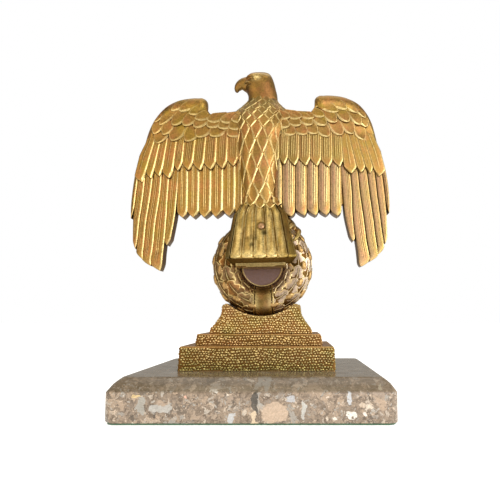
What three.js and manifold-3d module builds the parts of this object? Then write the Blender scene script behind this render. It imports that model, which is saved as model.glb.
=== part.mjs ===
// Bronze eagle on an oak wreath, a stepped pebbled pedestal and a marble plinth.
// Millimetres, +Z up, front towards -Y, origin at the middle of the underside.
import * as THREE from 'three';
import { mergeVertices } from 'three/addons/utils/BufferGeometryUtils.js';
import Module from 'manifold-3d';

const wasm = await Module();
wasm.setup();

// Driving dimensions of the base
const touchGap = 0.3;
const slack = 0.05;
const felt = { width: 168, depth: 128, thickness: 1.2 };
const plinth = { width: 170, depth: 130, top: 26.5, cornerRadius: 5, chamfer: 8 };
// A point halfway down the chamfer that rounds it a little
const rounding = { inset: 3.2, drop: 3.6 };
const plinthChip = { size: 6, turn: 0.5 };
const lowerStep = { width: 103, depth: 63, height: 16, taper: 0.75 };
const upperStep = { width: 85.5, depth: 45.5, height: 7.8, taper: 0.7 };
// The neck of the pedestal: height above the steps, half width and half depth
const neckProfile = [
  [0, 35.3, 15.7], [2.7, 35, 15.5], [7.2, 31.7, 13.9], [10.2, 29.8, 13],
  [13.7, 28, 12.1], [17.4, 27.5, 11.8], [19.6, 26.9, 11.6], [20.9, 25.3, 11.1],
];
const saddle = { radius: 40, bottom: 61.8 };

// Driving dimensions of the wreath
const upperOffsetX = 1.2;
const ring = { centreZ: 98.8, major: 26.9, tube: 9.1, leafRise: 0.9 };
const disc = { radius: 19, front: -3.2, back: 3.2 };
const ribbon = { angle: -87.3, halfAngle: 13.5, rise: 0.9, borderAngle: 2.2, borderRise: 1.5 };
const leaves = { columns: 10, rows: 11, lift: 1.8, lobe: 0.22 };

// Driving dimensions of the eagle, in its own frame at the middle of the wreath
const leanDegrees = 1.25;
const wing = { sweep: 0.15, sweepFrom: 28, front: -4.6, back: 5 };
// How far the casting's wings sit to one side, by height
const wingShift = [[0, -1.9], [35, -1.8], [60, -1.1], [90, -0.8], [105, -0.2], [122, 1]];
const midRow = {
  rootZ: 104, shoulderZ: 79.5, tipZ: 74, topFirst: 15, topPitch: 7.8, bottomFirst: 14.9, bottomPitch: 8.4,
  crowding: 0.062, tipDrops: [0, 0, 0, 0, 0, 2, 6, 4, 4.5, 5.5],
};
const lowRow = { rootZ: 81, shoulderZ: 42.4, tipZ: 37.6, first: 17.2, pitch: 8.8, count: 5, innerDrop: 1.8 };
const plumage = { columns: 18, rows: 13, lift: 1.6 };
const tail = { topZ: 41, bottomZ: 3.4, topHalf: 18.2, bottomHalf: 24.6, topFront: -14, bottomFront: -27.8 };
const tailMore = { thickness: 10.5, bottomShiftX: 0.7, flutes: 7, fluteDepth: 1.1, sideBevel: 4 };
const rivet = { x: 0.9, z: 26.2, radius: 2.2, length: 7, proud: 0.25 };
const stay = { halfWidth: 17, z: [-0.9, 2], front: -19.5 };

const degrees = Math.PI / 180;
const v = (x, y, z) => new THREE.Vector3(x, y, z);
const lerp = THREE.MathUtils.lerp;

function bronze(color, roughness) {
  return new THREE.MeshStandardMaterial({ color, roughness, metalness: 1 });
}

// Straight-line interpolation in a short list of [position, value, ...] rows
function sample(rows, at, column = 1) {
  const rising = rows[0][0] < rows[rows.length - 1][0];
  const sorted = rising ? rows : [...rows].reverse();
  if (at <= sorted[0][0]) return sorted[0][column];
  for (let i = 1; i < sorted.length; i += 1) {
    if (at <= sorted[i][0]) {
      const t = (at - sorted[i - 1][0]) / (sorted[i][0] - sorted[i - 1][0]);
      return lerp(sorted[i - 1][column], sorted[i][column], t);
    }
  }
  return sorted[sorted.length - 1][column];
}

// A closed body through rings of points; a ring of one point ends it in a tip
function loft(rings) {
  const positions = [];
  const index = [];
  const starts = rings.map((points) => {
    const start = positions.length / 3;
    points.forEach((p) => positions.push(p.x, p.y, p.z));
    return start;
  });
  for (let r = 1; r < rings.length; r += 1) {
    const a = starts[r - 1];
    const b = starts[r];
    const countA = rings[r - 1].length;
    const countB = rings[r].length;
    const count = Math.max(countA, countB);
    for (let i = 0; i < count; i += 1) {
      const a0 = a + (i % countA);
      const a1 = a + ((i + 1) % countA);
      const b0 = b + (i % countB);
      const b1 = b + ((i + 1) % countB);
      if (countA > 1) index.push(a0, a1, b1);
      if (countB > 1) index.push(a0, b1, b0);
    }
  }
  const last = rings.length - 1;
  for (let i = 1; i < rings[0].length - 1; i += 1) index.push(starts[0], starts[0] + i + 1, starts[0] + i);
  for (let i = 1; i < rings[last].length - 1; i += 1) {
    index.push(starts[last], starts[last] + i, starts[last] + i + 1);
  }
  const geometry = new THREE.BufferGeometry();
  geometry.setAttribute('position', new THREE.Float32BufferAttribute(positions, 3));
  geometry.setIndex(index);
  return geometry;
}

function signedVolume(positions, index) {
  let sum = 0;
  const corner = (i) => v(positions[3 * i], positions[3 * i + 1], positions[3 * i + 2]);
  for (let t = 0; t < index.length; t += 3) {
    const [a, b, c] = [corner(index[t]), corner(index[t + 1]), corner(index[t + 2])];
    sum += a.dot(b.cross(c)) / 6;
  }
  return sum;
}

// A closed geometry as a solid with its faces pointing out
function solid(source) {
  const bare = source.clone();
  bare.deleteAttribute('normal');
  bare.deleteAttribute('uv');
  const merged = mergeVertices(bare, 1e-4);
  const positions = Float32Array.from(merged.attributes.position.array);
  let index = Uint32Array.from(merged.index.array);
  if (signedVolume(positions, index) < 0) index = index.reverse();
  return new wasm.Manifold(new wasm.Mesh({ numProp: 3, vertProperties: positions, triVerts: index }));
}

function union(solids) {
  let row = solids;
  while (row.length > 1) {
    const next = [];
    for (let i = 0; i < row.length; i += 2) {
      next.push(i + 1 < row.length ? row[i].add(row[i + 1]) : row[i]);
    }
    row = next;
  }
  return row[0];
}

// A closed tube covered in overlapping scales. at(column, row, lift) gives its points; the columns
// run round it and the rows down it. Each scale's tip is lifted off the row below, and with a lobe
// its sides bulge halfway, as an oak leaf's do.
function scaleTube({ columns, rows, lift, lobe, at, start, end }) {
  const positions = [];
  const index = [];
  const known = new Map();
  const wrap = (c) => (c + columns) % columns;
  const vertex = (kind, c, k, make) => {
    const key = `${kind},${wrap(c)},${k}`;
    if (!known.has(key)) {
      const p = make();
      known.set(key, positions.length / 3);
      positions.push(p.x, p.y, p.z);
    }
    return known.get(key);
  };
  const node = (c, k) => vertex('node', c, k, () => at(c, k, 0));
  const tip = (c, k) => vertex('tip', c, k, () => at(c, k + 1, lift));
  const bulge = (c, k, side, raised) => vertex(`bulge${side}${raised}`, c, k, () => (
    at(c + side * (0.5 + lobe), k + 0.5 + lobe * 0.5, raised ? lift * 0.75 : lift * 0.1)));
  const face = (...corners) => index.push(...corners);
  const startPoint = vertex('start', 0, 0, () => start);
  const endPoint = vertex('end', 0, 0, () => end);
  for (let k = 1; k < rows; k += 1) {
    for (let c = k % 2; c < columns; c += 2) {
      const [top, left, right] = [node(c, k - 1), node(c - 1, k), node(c + 1, k)];
      const [foot, raised] = [node(c, k + 1), tip(c, k)];
      if (lobe) {
        const own = [bulge(c, k, -1, true), bulge(c, k, 1, true)];
        const under = [bulge(c, k, -1, false), bulge(c, k, 1, false)];
        const middle = vertex('middle', c, k, () => at(c, k + 0.2, lift * 0.75));
        const rim = [top, left, own[0], raised, own[1], right];
        if (k > 1) {
          rim.splice(1, 0, bulge(c - 1, k - 1, 1, false));
          rim.push(bulge(c + 1, k - 1, -1, false));
        }
        rim.forEach((corner, i) => face(middle, corner, rim[(i + 1) % rim.length]));
        face(own[0], left, under[0]);
        face(raised, own[0], under[0]);
        face(raised, under[0], foot);
        face(right, own[1], under[1]);
        face(own[1], raised, foot);
        face(own[1], foot, under[1]);
        if (k === rows - 1) {
          face(endPoint, under[0], left);
          face(endPoint, foot, under[0]);
          face(endPoint, under[1], foot);
          face(endPoint, right, under[1]);
        }
      } else {
        face(top, left, raised);
        face(top, raised, right);
        face(raised, left, foot);
        face(right, raised, foot);
        if (k === rows - 1) {
          face(endPoint, foot, left);
          face(endPoint, right, foot);
        }
      }
      if (k === 1) {
        face(startPoint, left, top);
        face(startPoint, top, right);
      }
    }
  }
  const geometry = new THREE.BufferGeometry();
  geometry.setAttribute('position', new THREE.Float32BufferAttribute(positions, 3));
  geometry.setIndex(index);
  return geometry;
}

// The triangles of the largest shell alone, so that no sealed void or crumb is left by a join
function largestShell({ vertProperties, triVerts }) {
  const parent = Array.from({ length: vertProperties.length / 3 }, (_, i) => i);
  const root = (start) => {
    let i = start;
    while (parent[i] !== i) {
      parent[i] = parent[parent[i]];
      i = parent[i];
    }
    return i;
  };
  for (let t = 0; t < triVerts.length; t += 3) {
    parent[root(triVerts[t + 1])] = root(triVerts[t]);
    parent[root(triVerts[t + 2])] = root(triVerts[t]);
  }
  const shells = new Map();
  for (let t = 0; t < triVerts.length; t += 3) {
    const key = root(triVerts[t]);
    if (!shells.has(key)) shells.set(key, []);
    shells.get(key).push(triVerts[t], triVerts[t + 1], triVerts[t + 2]);
  }
  const sized = [...shells.values()].map((index) => [signedVolume(vertProperties, index), index]);
  sized.sort((a, b) => b[0] - a[0]);
  return sized[0][1];
}

function geometryOf(body) {
  const mesh = body.simplify(slack).getMesh();
  const geometry = new THREE.BufferGeometry();
  geometry.setAttribute('position', new THREE.Float32BufferAttribute(mesh.vertProperties, 3));
  geometry.setIndex(largestShell(mesh));
  geometry.computeVertexNormals();
  return geometry;
}

function place(geometry, x, y, z) {
  return geometry.translate(x, y, z);
}

function named(name, geometry, material) {
  const mesh = new THREE.Mesh(geometry, material);
  mesh.name = name;
  return mesh;
}

// Rectangle with the given half sizes at one height
function rectangle(halfX, halfY, z, x = 0) {
  return [v(x - halfX, -halfY, z), v(x + halfX, -halfY, z), v(x + halfX, halfY, z), v(x - halfX, halfY, z)];
}

// Rectangle with round corners
function roundedRectangle(halfX, halfY, radius, z) {
  const corners = [[1, -1, -90], [1, 1, 0], [-1, 1, 90], [-1, -1, 180]];
  const steps = 3;
  return corners.flatMap(([sx, sy, start]) => Array.from({ length: steps + 1 }, (_, i) => {
    const angle = (start + (90 * i) / steps) * degrees;
    return v(
      sx * (halfX - radius) + radius * Math.cos(angle),
      sy * (halfY - radius) + radius * Math.sin(angle),
      z,
    );
  }));
}

function feltPad() {
  const half = [felt.width / 2, felt.depth / 2];
  return loft([
    roundedRectangle(half[0], half[1], plinth.cornerRadius, 0),
    roundedRectangle(half[0], half[1], plinth.cornerRadius, felt.thickness),
  ]);
}

function marblePlinth() {
  const { width, depth, top, cornerRadius, chamfer } = plinth;
  const slab = solid(loft([
    roundedRectangle(width / 2, depth / 2, cornerRadius, felt.thickness),
    roundedRectangle(width / 2, depth / 2, cornerRadius, top - chamfer),
    roundedRectangle(
      width / 2 - rounding.inset, depth / 2 - rounding.inset, cornerRadius, top - rounding.drop,
    ),
    roundedRectangle(width / 2 - chamfer, depth / 2 - chamfer, cornerRadius / 2, top),
  ]));
  const chip = new THREE.BoxGeometry(plinthChip.size, plinthChip.size, plinthChip.size);
  chip.rotateZ(45 * degrees).rotateY(plinthChip.turn);
  place(chip, -width / 2 - 0.6, -depth / 2 - 0.6, felt.thickness + 0.6);
  return geometryOf(slab.subtract(solid(chip)));
}

function step({ width, depth, height, taper }, bottom, overlap) {
  return solid(loft([
    rectangle(width / 2, depth / 2, bottom - overlap),
    rectangle(width / 2, depth / 2, bottom),
    rectangle(width / 2 - taper, depth / 2 - taper, bottom + height),
  ]));
}

function steppedPedestal() {
  const lowerTop = plinth.top + lowerStep.height;
  const upperTop = lowerTop + upperStep.height;
  const neckRings = neckProfile.map(([z, halfX, halfY]) => (
    rectangle(halfX, halfY, upperTop + z, upperOffsetX)));
  neckRings.unshift(rectangle(neckProfile[0][1], neckProfile[0][2], upperTop - 1, upperOffsetX));
  const saddleCut = new THREE.CylinderGeometry(saddle.radius, saddle.radius, 60, 48);
  place(saddleCut, upperOffsetX, 0, saddle.bottom + saddle.radius);
  return geometryOf(union([
    step(lowerStep, plinth.top, 0),
    step(upperStep, lowerTop, 1),
    solid(loft(neckRings)).subtract(solid(saddleCut)),
  ]));
}

// Point on the ring: angle along it in the XZ plane, turn around its tube, -90 facing front
function ringPoint(angle, turn, radius, major = ring.major) {
  const reach = major + radius * Math.cos(turn * degrees);
  return v(
    reach * Math.cos(angle * degrees),
    radius * Math.sin(turn * degrees),
    reach * Math.sin(angle * degrees),
  );
}

// Part of the ring's tube between two angles
function ringTube(radius, from, to, steps, sides) {
  return loft(Array.from({ length: steps + 1 }, (_, i) => {
    const angle = lerp(from, to, i / steps);
    return Array.from({ length: sides }, (__, j) => ringPoint(angle, (360 * j) / sides, radius));
  }));
}

// One half of the ring in lobed oak leaves, from the ribbon up to the top
function leafyHalf(side) {
  const { columns, rows, lift, lobe } = leaves;
  const from = side > 0 ? ribbon.angle + ribbon.halfAngle - 4 : ribbon.angle - ribbon.halfAngle + 4;
  const to = side > 0 ? 90.3 : -270.3;
  const at = (c, k, rise) => ringPoint(lerp(from, to, k / rows), (360 * c) / columns, ring.tube + rise);
  return scaleTube({
    columns, rows, lift, lobe, at,
    start: ringPoint(from, 0, 0), end: ringPoint(to, 0, 0),
  });
}

function wreath() {
  const parts = [solid(leafyHalf(1)), solid(leafyHalf(-1))];
  const { angle, halfAngle, borderAngle } = ribbon;
  parts.push(solid(ringTube(ring.tube + ribbon.rise, angle - halfAngle, angle + halfAngle, 3, 8)));
  for (const sign of [1, -1]) {
    const middle = angle + sign * (halfAngle - borderAngle / 2);
    const half = borderAngle / 2;
    parts.push(solid(ringTube(ring.tube + ribbon.borderRise, middle - half, middle + half, 1, 8)));
  }
  const plate = new THREE.CylinderGeometry(disc.radius, disc.radius, disc.back - disc.front, 20);
  parts.push(solid(place(plate, 0, (disc.back + disc.front) / 2, 0)));
  const body = union(parts);
  // Trimmed where it is bedded in the saddle
  const bed = new THREE.CylinderGeometry(saddle.radius - touchGap, saddle.radius - touchGap, 60, 48);
  place(bed, 0, 0, saddle.bottom + saddle.radius - ring.centreZ);
  return geometryOf(body.intersect(solid(bed)));
}

// Elliptical rings stacked along Z: [z, left x, right x, front y, back y]
function stack(rows, sides) {
  return loft(rows.map(([z, left, right, front, back]) => (
    Array.from({ length: sides }, (_, i) => {
      const angle = (2 * Math.PI * i) / sides;
      const x = lerp(left, right, (1 + Math.cos(angle)) / 2);
      return v(x, Math.sin(angle) * (Math.sin(angle) < 0 ? -front : back), z);
    })
  )));
}

// A tapered rod along points in the XZ plane: [x, z, half height, half depth, y]
function horn(rows, sides) {
  const rings = rows.map(([x, z, half, halfDepth, y = 0], i) => {
    const before = rows[Math.max(i - 1, 0)];
    const after = rows[Math.min(i + 1, rows.length - 1)];
    const along = v(after[0] - before[0], 0, after[1] - before[1]).normalize();
    const across = v(-along.z, 0, along.x);
    return Array.from({ length: sides }, (_, j) => {
      const angle = (2 * Math.PI * j) / sides;
      const p = v(x, y + halfDepth * Math.sin(angle), z);
      return p.addScaledVector(across, half * Math.cos(angle));
    });
  });
  return loft(rings);
}

// The body from the throat down: z, left x, right x, front y, back y
const trunk = [
  [131, -8, 12.8, -8.3, 8.3], [127.2, -8.3, 13.2, -8.4, 8.2], [123.8, -10.7, 14.6, -8.8, 8.3],
  [120.4, -14.2, 17.4, -9.6, 8.4], [118, -17.6, 20.4, -10.4, 8.5], [114, -22, 23, -11.6, 8.8],
  [110, -20.5, 21.5, -12.8, 9.1], [104, -18.6, 19, -14.2, 9.6], [95, -16.4, 16.6, -15.3, 10],
  [80, -14.4, 14.4, -15.4, 10], [64, -13, 13, -14.4, 9.5], [36, -12.4, 12.4, -12.5, 8],
];
// The head above it, and the hooked beak: x, z, half height, half depth
const head = [
  [130.2, -8.8, 13.4, 8.3], [134.2, -10.6, 12.4, 8.7], [139, -9.6, 11.4, 8.7],
  [144, -8.8, 9.5, 7.6], [147, -7.6, 7.1, 5], [148.3, -5, 3.2, 2.6],
];
const beak = [
  [-5, 139.8, 6.6, 6.2], [-9, 140.4, 6.2, 4.8], [-12.8, 140, 5.6, 3.8], [-15.9, 138.7, 4.1, 3.1],
  [-17.3, 135.6, 2.3, 2.2], [-16.9, 132.9, 0.7, 0.8],
];

// Lozenge scales all round the trunk, growing from the throat down
function scaledTrunk() {
  const { columns, rows, lift } = plumage;
  const height = (k) => 129.5 - 3.3 * (k - 1) - 0.42 * (k - 1) * (k - 1);
  const at = (c, k, rise) => {
    const z = Math.max(height(k), 36);
    const angle = (2 * Math.PI * c) / columns - Math.PI / 2;
    const [left, right] = [sample(trunk, z, 1), sample(trunk, z, 2)];
    const depth = Math.sin(angle) < 0 ? -sample(trunk, z, 3) : sample(trunk, z, 4);
    return v(
      (left + right) / 2 + ((right - left) / 2 + rise) * Math.cos(angle),
      (depth + rise) * Math.sin(angle),
      z,
    );
  };
  return scaleTube({ columns, rows, lift, lobe: 0, at, start: v(2, 0, height(0)), end: v(0, 0, 36) });
}

// The brow ridge, and the eyes under it
const brow = [
  [-8.2, 143.7, 0.6, 1.2, 5.8], [-3.4, 144.2, 1, 1.6, 6.6], [2.4, 143.4, 0.8, 1.2, 7],
  [6, 142.4, 0.3, 0.5, 7.2],
];
const eye = { x: -2.2, y: 7.1, z: 141.2, radius: 1.7 };

function headParts() {
  const parts = [solid(stack(head.map(([z, l, r, d]) => [z, l, r, -d, d]), 12)), solid(horn(beak, 8))];
  for (const side of [-1, 1]) {
    const ball = new THREE.SphereGeometry(eye.radius, 7, 5);
    parts.push(solid(place(ball, eye.x, side * eye.y, eye.z)));
    parts.push(solid(horn(brow.map(([x, z, half, halfDepth, y]) => [x, z, half, halfDepth, side * y]), 5)));
  }
  return parts;
}

// Outer edge of the wing and the inner edges of its long outer feathers, x at a height
const wingEdge = [
  [128.3, 55], [126.5, 68], [122, 75.5], [116, 80.3], [107, 85.2], [95, 90], [82, 92.8], [73, 95],
  [62, 96.7], [47, 97.6], [38, 97.4], [27, 96.1], [17, 94.2],
];
const wingTop = [
  [14, 116.8], [24, 115.4], [39, 114.4], [41, 122], [44, 126.2], [53, 127.8], [63, 126.6], [72, 122.4],
  [79, 115.4], [84.4, 107], [89.4, 94.6], [98, 60],
];
const longEdges = [
  [[84, 60], [58, 63], [38, 61.6], [30, 63.4], [18, 67]],
  [[84, 66.5], [58, 71.2], [38, 72.4], [20, 72.6], [0, 72]],
  [[84, 73.4], [58, 78.9], [38, 80.8], [20, 81], [4, 79]],
  [[84, 79.7], [58, 85.6], [38, 87.4], [20, 87.4], [9, 86]],
  [[84, 85.8], [58, 91.6], [38, 93.6], [20, 93.2]],
  [[84, 90.2], [58, 95.6], [38, 97]],
];
const longTips = [[68.4, 18.4], [74.6, -1], [81.4, 2.8], [87.8, 7.8], [93.6, 16], [97.6, 39.4]];

// A flat bar of feather between two edges, cut by level rings down to its tip
function featherBar({ inner, outer, levels, tip, front, back, crown, slope }) {
  const rings = levels.map(([z, narrow, drop]) => {
    const left = inner(z);
    const right = outer(z);
    const middle = lerp(left, right, 0.5);
    const a = lerp(middle, left, narrow);
    const b = lerp(middle, right, narrow);
    const y = front + drop;
    return [v(a, back, z), v(a, y + slope, z), v(lerp(a, b, 0.55), y - crown, z), v(b, y, z), v(b, back, z)];
  });
  const tipFront = v(tip[0], front + 0.6, tip[1]);
  const tipBack = v(tip[0], back, tip[1]);
  rings.push([tipBack, tipFront, tipFront.clone(), tipFront.clone(), tipBack.clone()]);
  return loft(rings);
}

function wingFeathers() {
  const bars = [];
  const overlap = 0.35;
  const midTop = (i) => midRow.topFirst + midRow.topPitch * i;
  const crowd = (i) => (i > 5 ? midRow.crowding * i * i : 0);
  const midBottom = (i) => midRow.bottomFirst + midRow.bottomPitch * i - crowd(i);
  midRow.tipDrops.forEach((drop, i) => {
    const edge = (k) => (z) => lerp(midBottom(k), midTop(k), (z - 80) / (midRow.rootZ - 80));
    const { rootZ, shoulderZ, tipZ } = midRow;
    const tipX = lerp(edge(i)(tipZ - drop), edge(i + 1)(tipZ - drop), 0.52);
    bars.push(featherBar({
      inner: (z) => edge(i)(z) - overlap,
      outer: (z) => Math.min(edge(i + 1)(z) + overlap, sample(wingEdge, z) - 0.4),
      levels: [[rootZ - 0.4 * i, 1, 0.6], [shoulderZ - drop, 1, 0]],
      tip: [Math.min(tipX, 92.6), tipZ - drop],
      front: wing.front - 2.2, back: wing.front + 1.5, crown: 0.7, slope: 0.7,
    }));
  });
  for (let i = -1; i < lowRow.count; i += 1) {
    const left = lowRow.first + lowRow.pitch * i;
    const drop = i < 1 ? lowRow.innerDrop : 0;
    bars.push(featherBar({
      inner: () => left - overlap,
      outer: () => left + lowRow.pitch + overlap,
      levels: [[lowRow.rootZ, 1, 0.8], [lowRow.shoulderZ - drop, 1, 0]],
      tip: [left + lowRow.pitch / 2, lowRow.tipZ - drop],
      front: wing.front - 0.6, back: wing.back, crown: 0.8, slope: 0.8,
    }));
  }
  longTips.forEach((tip, i) => {
    const outerRows = i + 1 < longEdges.length ? longEdges[i + 1] : wingEdge;
    const reach = 82 - tip[1];
    bars.push(featherBar({
      inner: (z) => sample(longEdges[i], z) - overlap,
      outer: (z) => sample(outerRows, z) + overlap,
      levels: [
        [82, 1, 0.9], [tip[1] + 0.55 * reach, 1, 0.2], [tip[1] + 14, 1, 0], [tip[1] + 4.5, 0.74, 0.2],
      ],
      tip,
      front: wing.front - 0.4 - 0.35 * i, back: wing.back - 1.5, crown: 0.9, slope: 1.2,
    }));
  });
  return bars;
}

// Overlapping coverts: rows of leaf-shaped scales that point outwards and down
const coverts = { half: 4.3, topDrop: 0.45, edgeDrop: 0.25 };
const covertRows = [
  { count: 7, from: [19, 102], to: [85, 97], sag: 2.5, front: -7.2 },
  { count: 7, from: [18, 107.4], to: [82, 103], sag: 4.5, front: -8.2 },
  { count: 6, from: [22, 112], to: [77, 109.6], sag: 6, front: -8.8 },
  { count: 4, from: [51, 118.5], to: [74, 116], sag: 3, front: -11 },
];

function wingCoverts() {
  return covertRows.flatMap(({ count, from, to, sag, front }) => Array.from({ length: count }, (_, i) => {
    const t = i / (count - 1);
    const x = lerp(from[0], to[0], t);
    const z = lerp(from[1], to[1], t) + sag * Math.sin(Math.PI * t) * 0.4;
    const angle = -lerp(32, 66, t * t) * degrees;
    const along = v(Math.cos(angle), 0, Math.sin(angle));
    const across = v(-Math.sin(angle), 0, Math.cos(angle));
    const length = lerp(8.5, 10.5, t);
    const inside = (p) => {
      const proud = wing.front - p.y;
      p.z = Math.min(p.z, sample(wingTop, p.x) - 0.4 - coverts.topDrop * proud);
      p.x = Math.min(p.x, sample(wingEdge, p.z) - 0.4 - coverts.edgeDrop * proud);
      return p;
    };
    const pointAt = (s, sideways, dy) => {
      const p = v(x, front + dy, z).addScaledVector(along, s * length);
      return inside(p.addScaledVector(across, sideways * coverts.half));
    };
    const ringAt = (s, width, lift) => (
      [[-width, -lift], [width, -lift], [0, 3]].map(([sideways, dy]) => pointAt(s, sideways, dy)));
    const tip = inside(v(x, front - 0.9, z).addScaledVector(along, length * 0.62));
    return loft([ringAt(-0.6, 0.7, 0.1), ringAt(0.15, 1, 1), [tip]]);
  }));
}

function wingPlate() {
  const outline = [
    [4, 44], [4, 117.5], [40, 115.6], [76, 112], [84, 104.5], [89, 94], [92, 80], [95.4, 62],
    [96.8, 44], [94, 30], [86, 24], [74, 24], [66, 34], [62, 44],
  ];
  const shape = new THREE.Shape(outline.map(([x, z]) => new THREE.Vector2(x, z)));
  const depth = wing.back - wing.front - 1.5;
  const plate = new THREE.ExtrudeGeometry(shape, { depth, bevelEnabled: false });
  // The shape's y runs up, its depth runs to the back
  return plate.rotateX(90 * degrees).translate(0, wing.back, 0);
}

// The thick rolled leading edge of the wing
function shoulderRoll() {
  return horn([
    [40.4, 120.4, 3.4, 3.4, -2.4], [42.8, 120.9, 6.5, 6.6, -2.4], [53, 121.6, 7.5, 7.8, -2],
    [63, 120.6, 7.6, 7.6, -1.8], [72, 116.6, 7.1, 7.2, -1], [80.2, 107.6, 5.8, 6, 0],
    [89.6, 85, 2.8, 3.4, 0.4],
  ], 8);
}

// Sweeps the wing back from its root, and mirrors the left one
function setWing(geometry, side) {
  const position = geometry.attributes.position;
  for (let i = 0; i < position.count; i += 1) {
    const x = position.getX(i);
    const z = position.getZ(i);
    const back = wing.sweep * Math.max(0, x - wing.sweepFrom);
    position.setXYZ(i, sample(wingShift, z) + side * x, position.getY(i) + back, z);
  }
  return solid(geometry);
}

function tailWedge() {
  const slope = Math.atan2(tail.topFront - tail.bottomFront, tail.topZ - tail.bottomZ);
  const back = v(0, Math.cos(slope), -Math.sin(slope)).multiplyScalar(tailMore.thickness);
  const ringAt = (t) => {
    const half = lerp(tail.topHalf, tail.bottomHalf, t);
    const x0 = tailMore.bottomShiftX * t;
    const y = lerp(tail.topFront, tail.bottomFront, t);
    const z = lerp(tail.topZ, tail.bottomZ, t);
    const points = [];
    for (let i = 0; i <= tailMore.flutes; i += 1) {
      const u = (2 * i) / tailMore.flutes - 1;
      const round = 2.6 * u * u;
      points.push(v(x0 + u * half, y + round, z));
      if (i < tailMore.flutes) {
        points.push(v(x0 + (u + 0.25 / tailMore.flutes) * half, y + round - tailMore.fluteDepth, z));
      }
    }
    points.push(v(x0 + half - tailMore.sideBevel, y, z).add(back));
    points.push(v(x0 - half + tailMore.sideBevel, y, z).add(back));
    return points;
  };
  return loft([ringAt(0), ringAt(1)]);
}

// Legs and toes that hold the ring, with room for the leaves under them
const feet = { leftAngle: 62, rightAngle: 53, toeSteps: 3, grip: ring.tube + ring.leafRise + 1 };
// Each toe: its spread along the ring, and where around the tube it starts and ends
const toes = [[0, 20, -100], [17, 15, -88], [-17, 15, -88], [0, 0, 120]];

function legsAndToes() {
  const parts = [];
  const { grip, toeSteps } = feet;
  for (const side of [-1, 1]) {
    const footAngle = side > 0 ? feet.rightAngle : feet.leftAngle;
    const foot = footAngle * degrees;
    parts.push(solid(horn([
      [side * 9, 54, 5.4, 5.6], [side * 11.5, 46, 5, 5.2], [side * 16, 38, 3.8, 4.2],
      [side * (ring.major + ring.tube) * Math.cos(foot), (ring.major + ring.tube) * Math.sin(foot), 3.4, 4],
    ], 6)));
    for (const [spread, from, to] of toes) {
      const rings = Array.from({ length: toeSteps }, (_, i) => {
        const t = i / toeSteps;
        const angle = footAngle - spread * t;
        const turn = lerp(from, to, t);
        const half = lerp(5, 3.2, t);
        const high = lerp(3.6, 2.6, t);
        return [[-half, -1], [-half * 0.7, high * 0.8], [half * 0.7, high], [half, -1]].map(([da, dr]) => {
          const p = ringPoint(angle + da, turn, grip + dr);
          return p.setX(p.x * side);
        });
      });
      const claw = ringPoint(footAngle - spread, to, grip + 0.4);
      claw.setX(claw.x * side);
      parts.push(solid(loft([...rings, [claw]])));
    }
  }
  return parts;
}

// A short pin square to the tail's face, and the hole that it sits in
function rivetPin(radius, extra) {
  const slope = Math.atan2(tail.topFront - tail.bottomFront, tail.topZ - tail.bottomZ);
  const t = (tail.topZ - rivet.z) / (tail.topZ - tail.bottomZ);
  const y = lerp(tail.topFront, tail.bottomFront, t) - tailMore.fluteDepth;
  const pin = new THREE.CylinderGeometry(radius, radius, rivet.length + extra, 16);
  pin.translate(0, -(rivet.length - extra) / 2 + rivet.proud, 0);
  // The pin's own axis is turned to point out of the face
  pin.rotateX(180 * degrees - slope);
  return place(pin, rivet.x, y, rivet.z);
}

function eagle() {
  const parts = [solid(scaledTrunk()), ...headParts()];
  for (const side of [-1, 1]) {
    parts.push(setWing(wingPlate(), side), setWing(shoulderRoll(), side));
    for (const geometry of [...wingFeathers(), ...wingCoverts()]) parts.push(setWing(geometry, side));
  }
  parts.push(solid(tailWedge()), ...legsAndToes());
  const stayBack = disc.front - touchGap;
  const web = new THREE.BoxGeometry(2 * stay.halfWidth, stayBack - stay.front, stay.z[1] - stay.z[0]);
  parts.push(solid(place(web, 0, (stayBack + stay.front) / 2, (stay.z[0] + stay.z[1]) / 2)));
  const room = ring.tube + ring.leafRise + 1.3 + touchGap;
  const bed = new THREE.TorusGeometry(ring.major, room, 12, 36).rotateX(90 * degrees);
  return union(parts)
    .subtract(solid(bed))
    .subtract(solid(rivetPin(rivet.radius + touchGap, 2)));
}

const object = new THREE.Group();
object.add(named('felt_pad', feltPad(), new THREE.MeshStandardMaterial({
  color: 0x2f4a3a, roughness: 0.95, metalness: 0,
})));
object.add(named('marble_plinth', marblePlinth(), new THREE.MeshStandardMaterial({
  color: 0x7d7266, roughness: 0.25, metalness: 0,
})));
object.add(named('stepped_pedestal', steppedPedestal(), bronze(0x9c7338, 0.42)));

const upper = new THREE.Group();
upper.position.set(upperOffsetX, 0, ring.centreZ);
upper.add(named('wreath', wreath(), bronze(0x94703c, 0.45)));
object.add(upper);

const bird = new THREE.Group();
bird.position.copy(upper.position);
bird.rotation.y = -leanDegrees * degrees;
bird.add(named('eagle', geometryOf(eagle()), bronze(0xa67c3c, 0.4)));
bird.add(named('tail_rivet', rivetPin(rivet.radius, 0), bronze(0xb06f45, 0.5)));
object.add(bird);

export default object;
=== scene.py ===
# Cast bronze eagle on an oak wreath, a pebbled bronze pedestal and a breccia marble plinth
import math
import random

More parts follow.
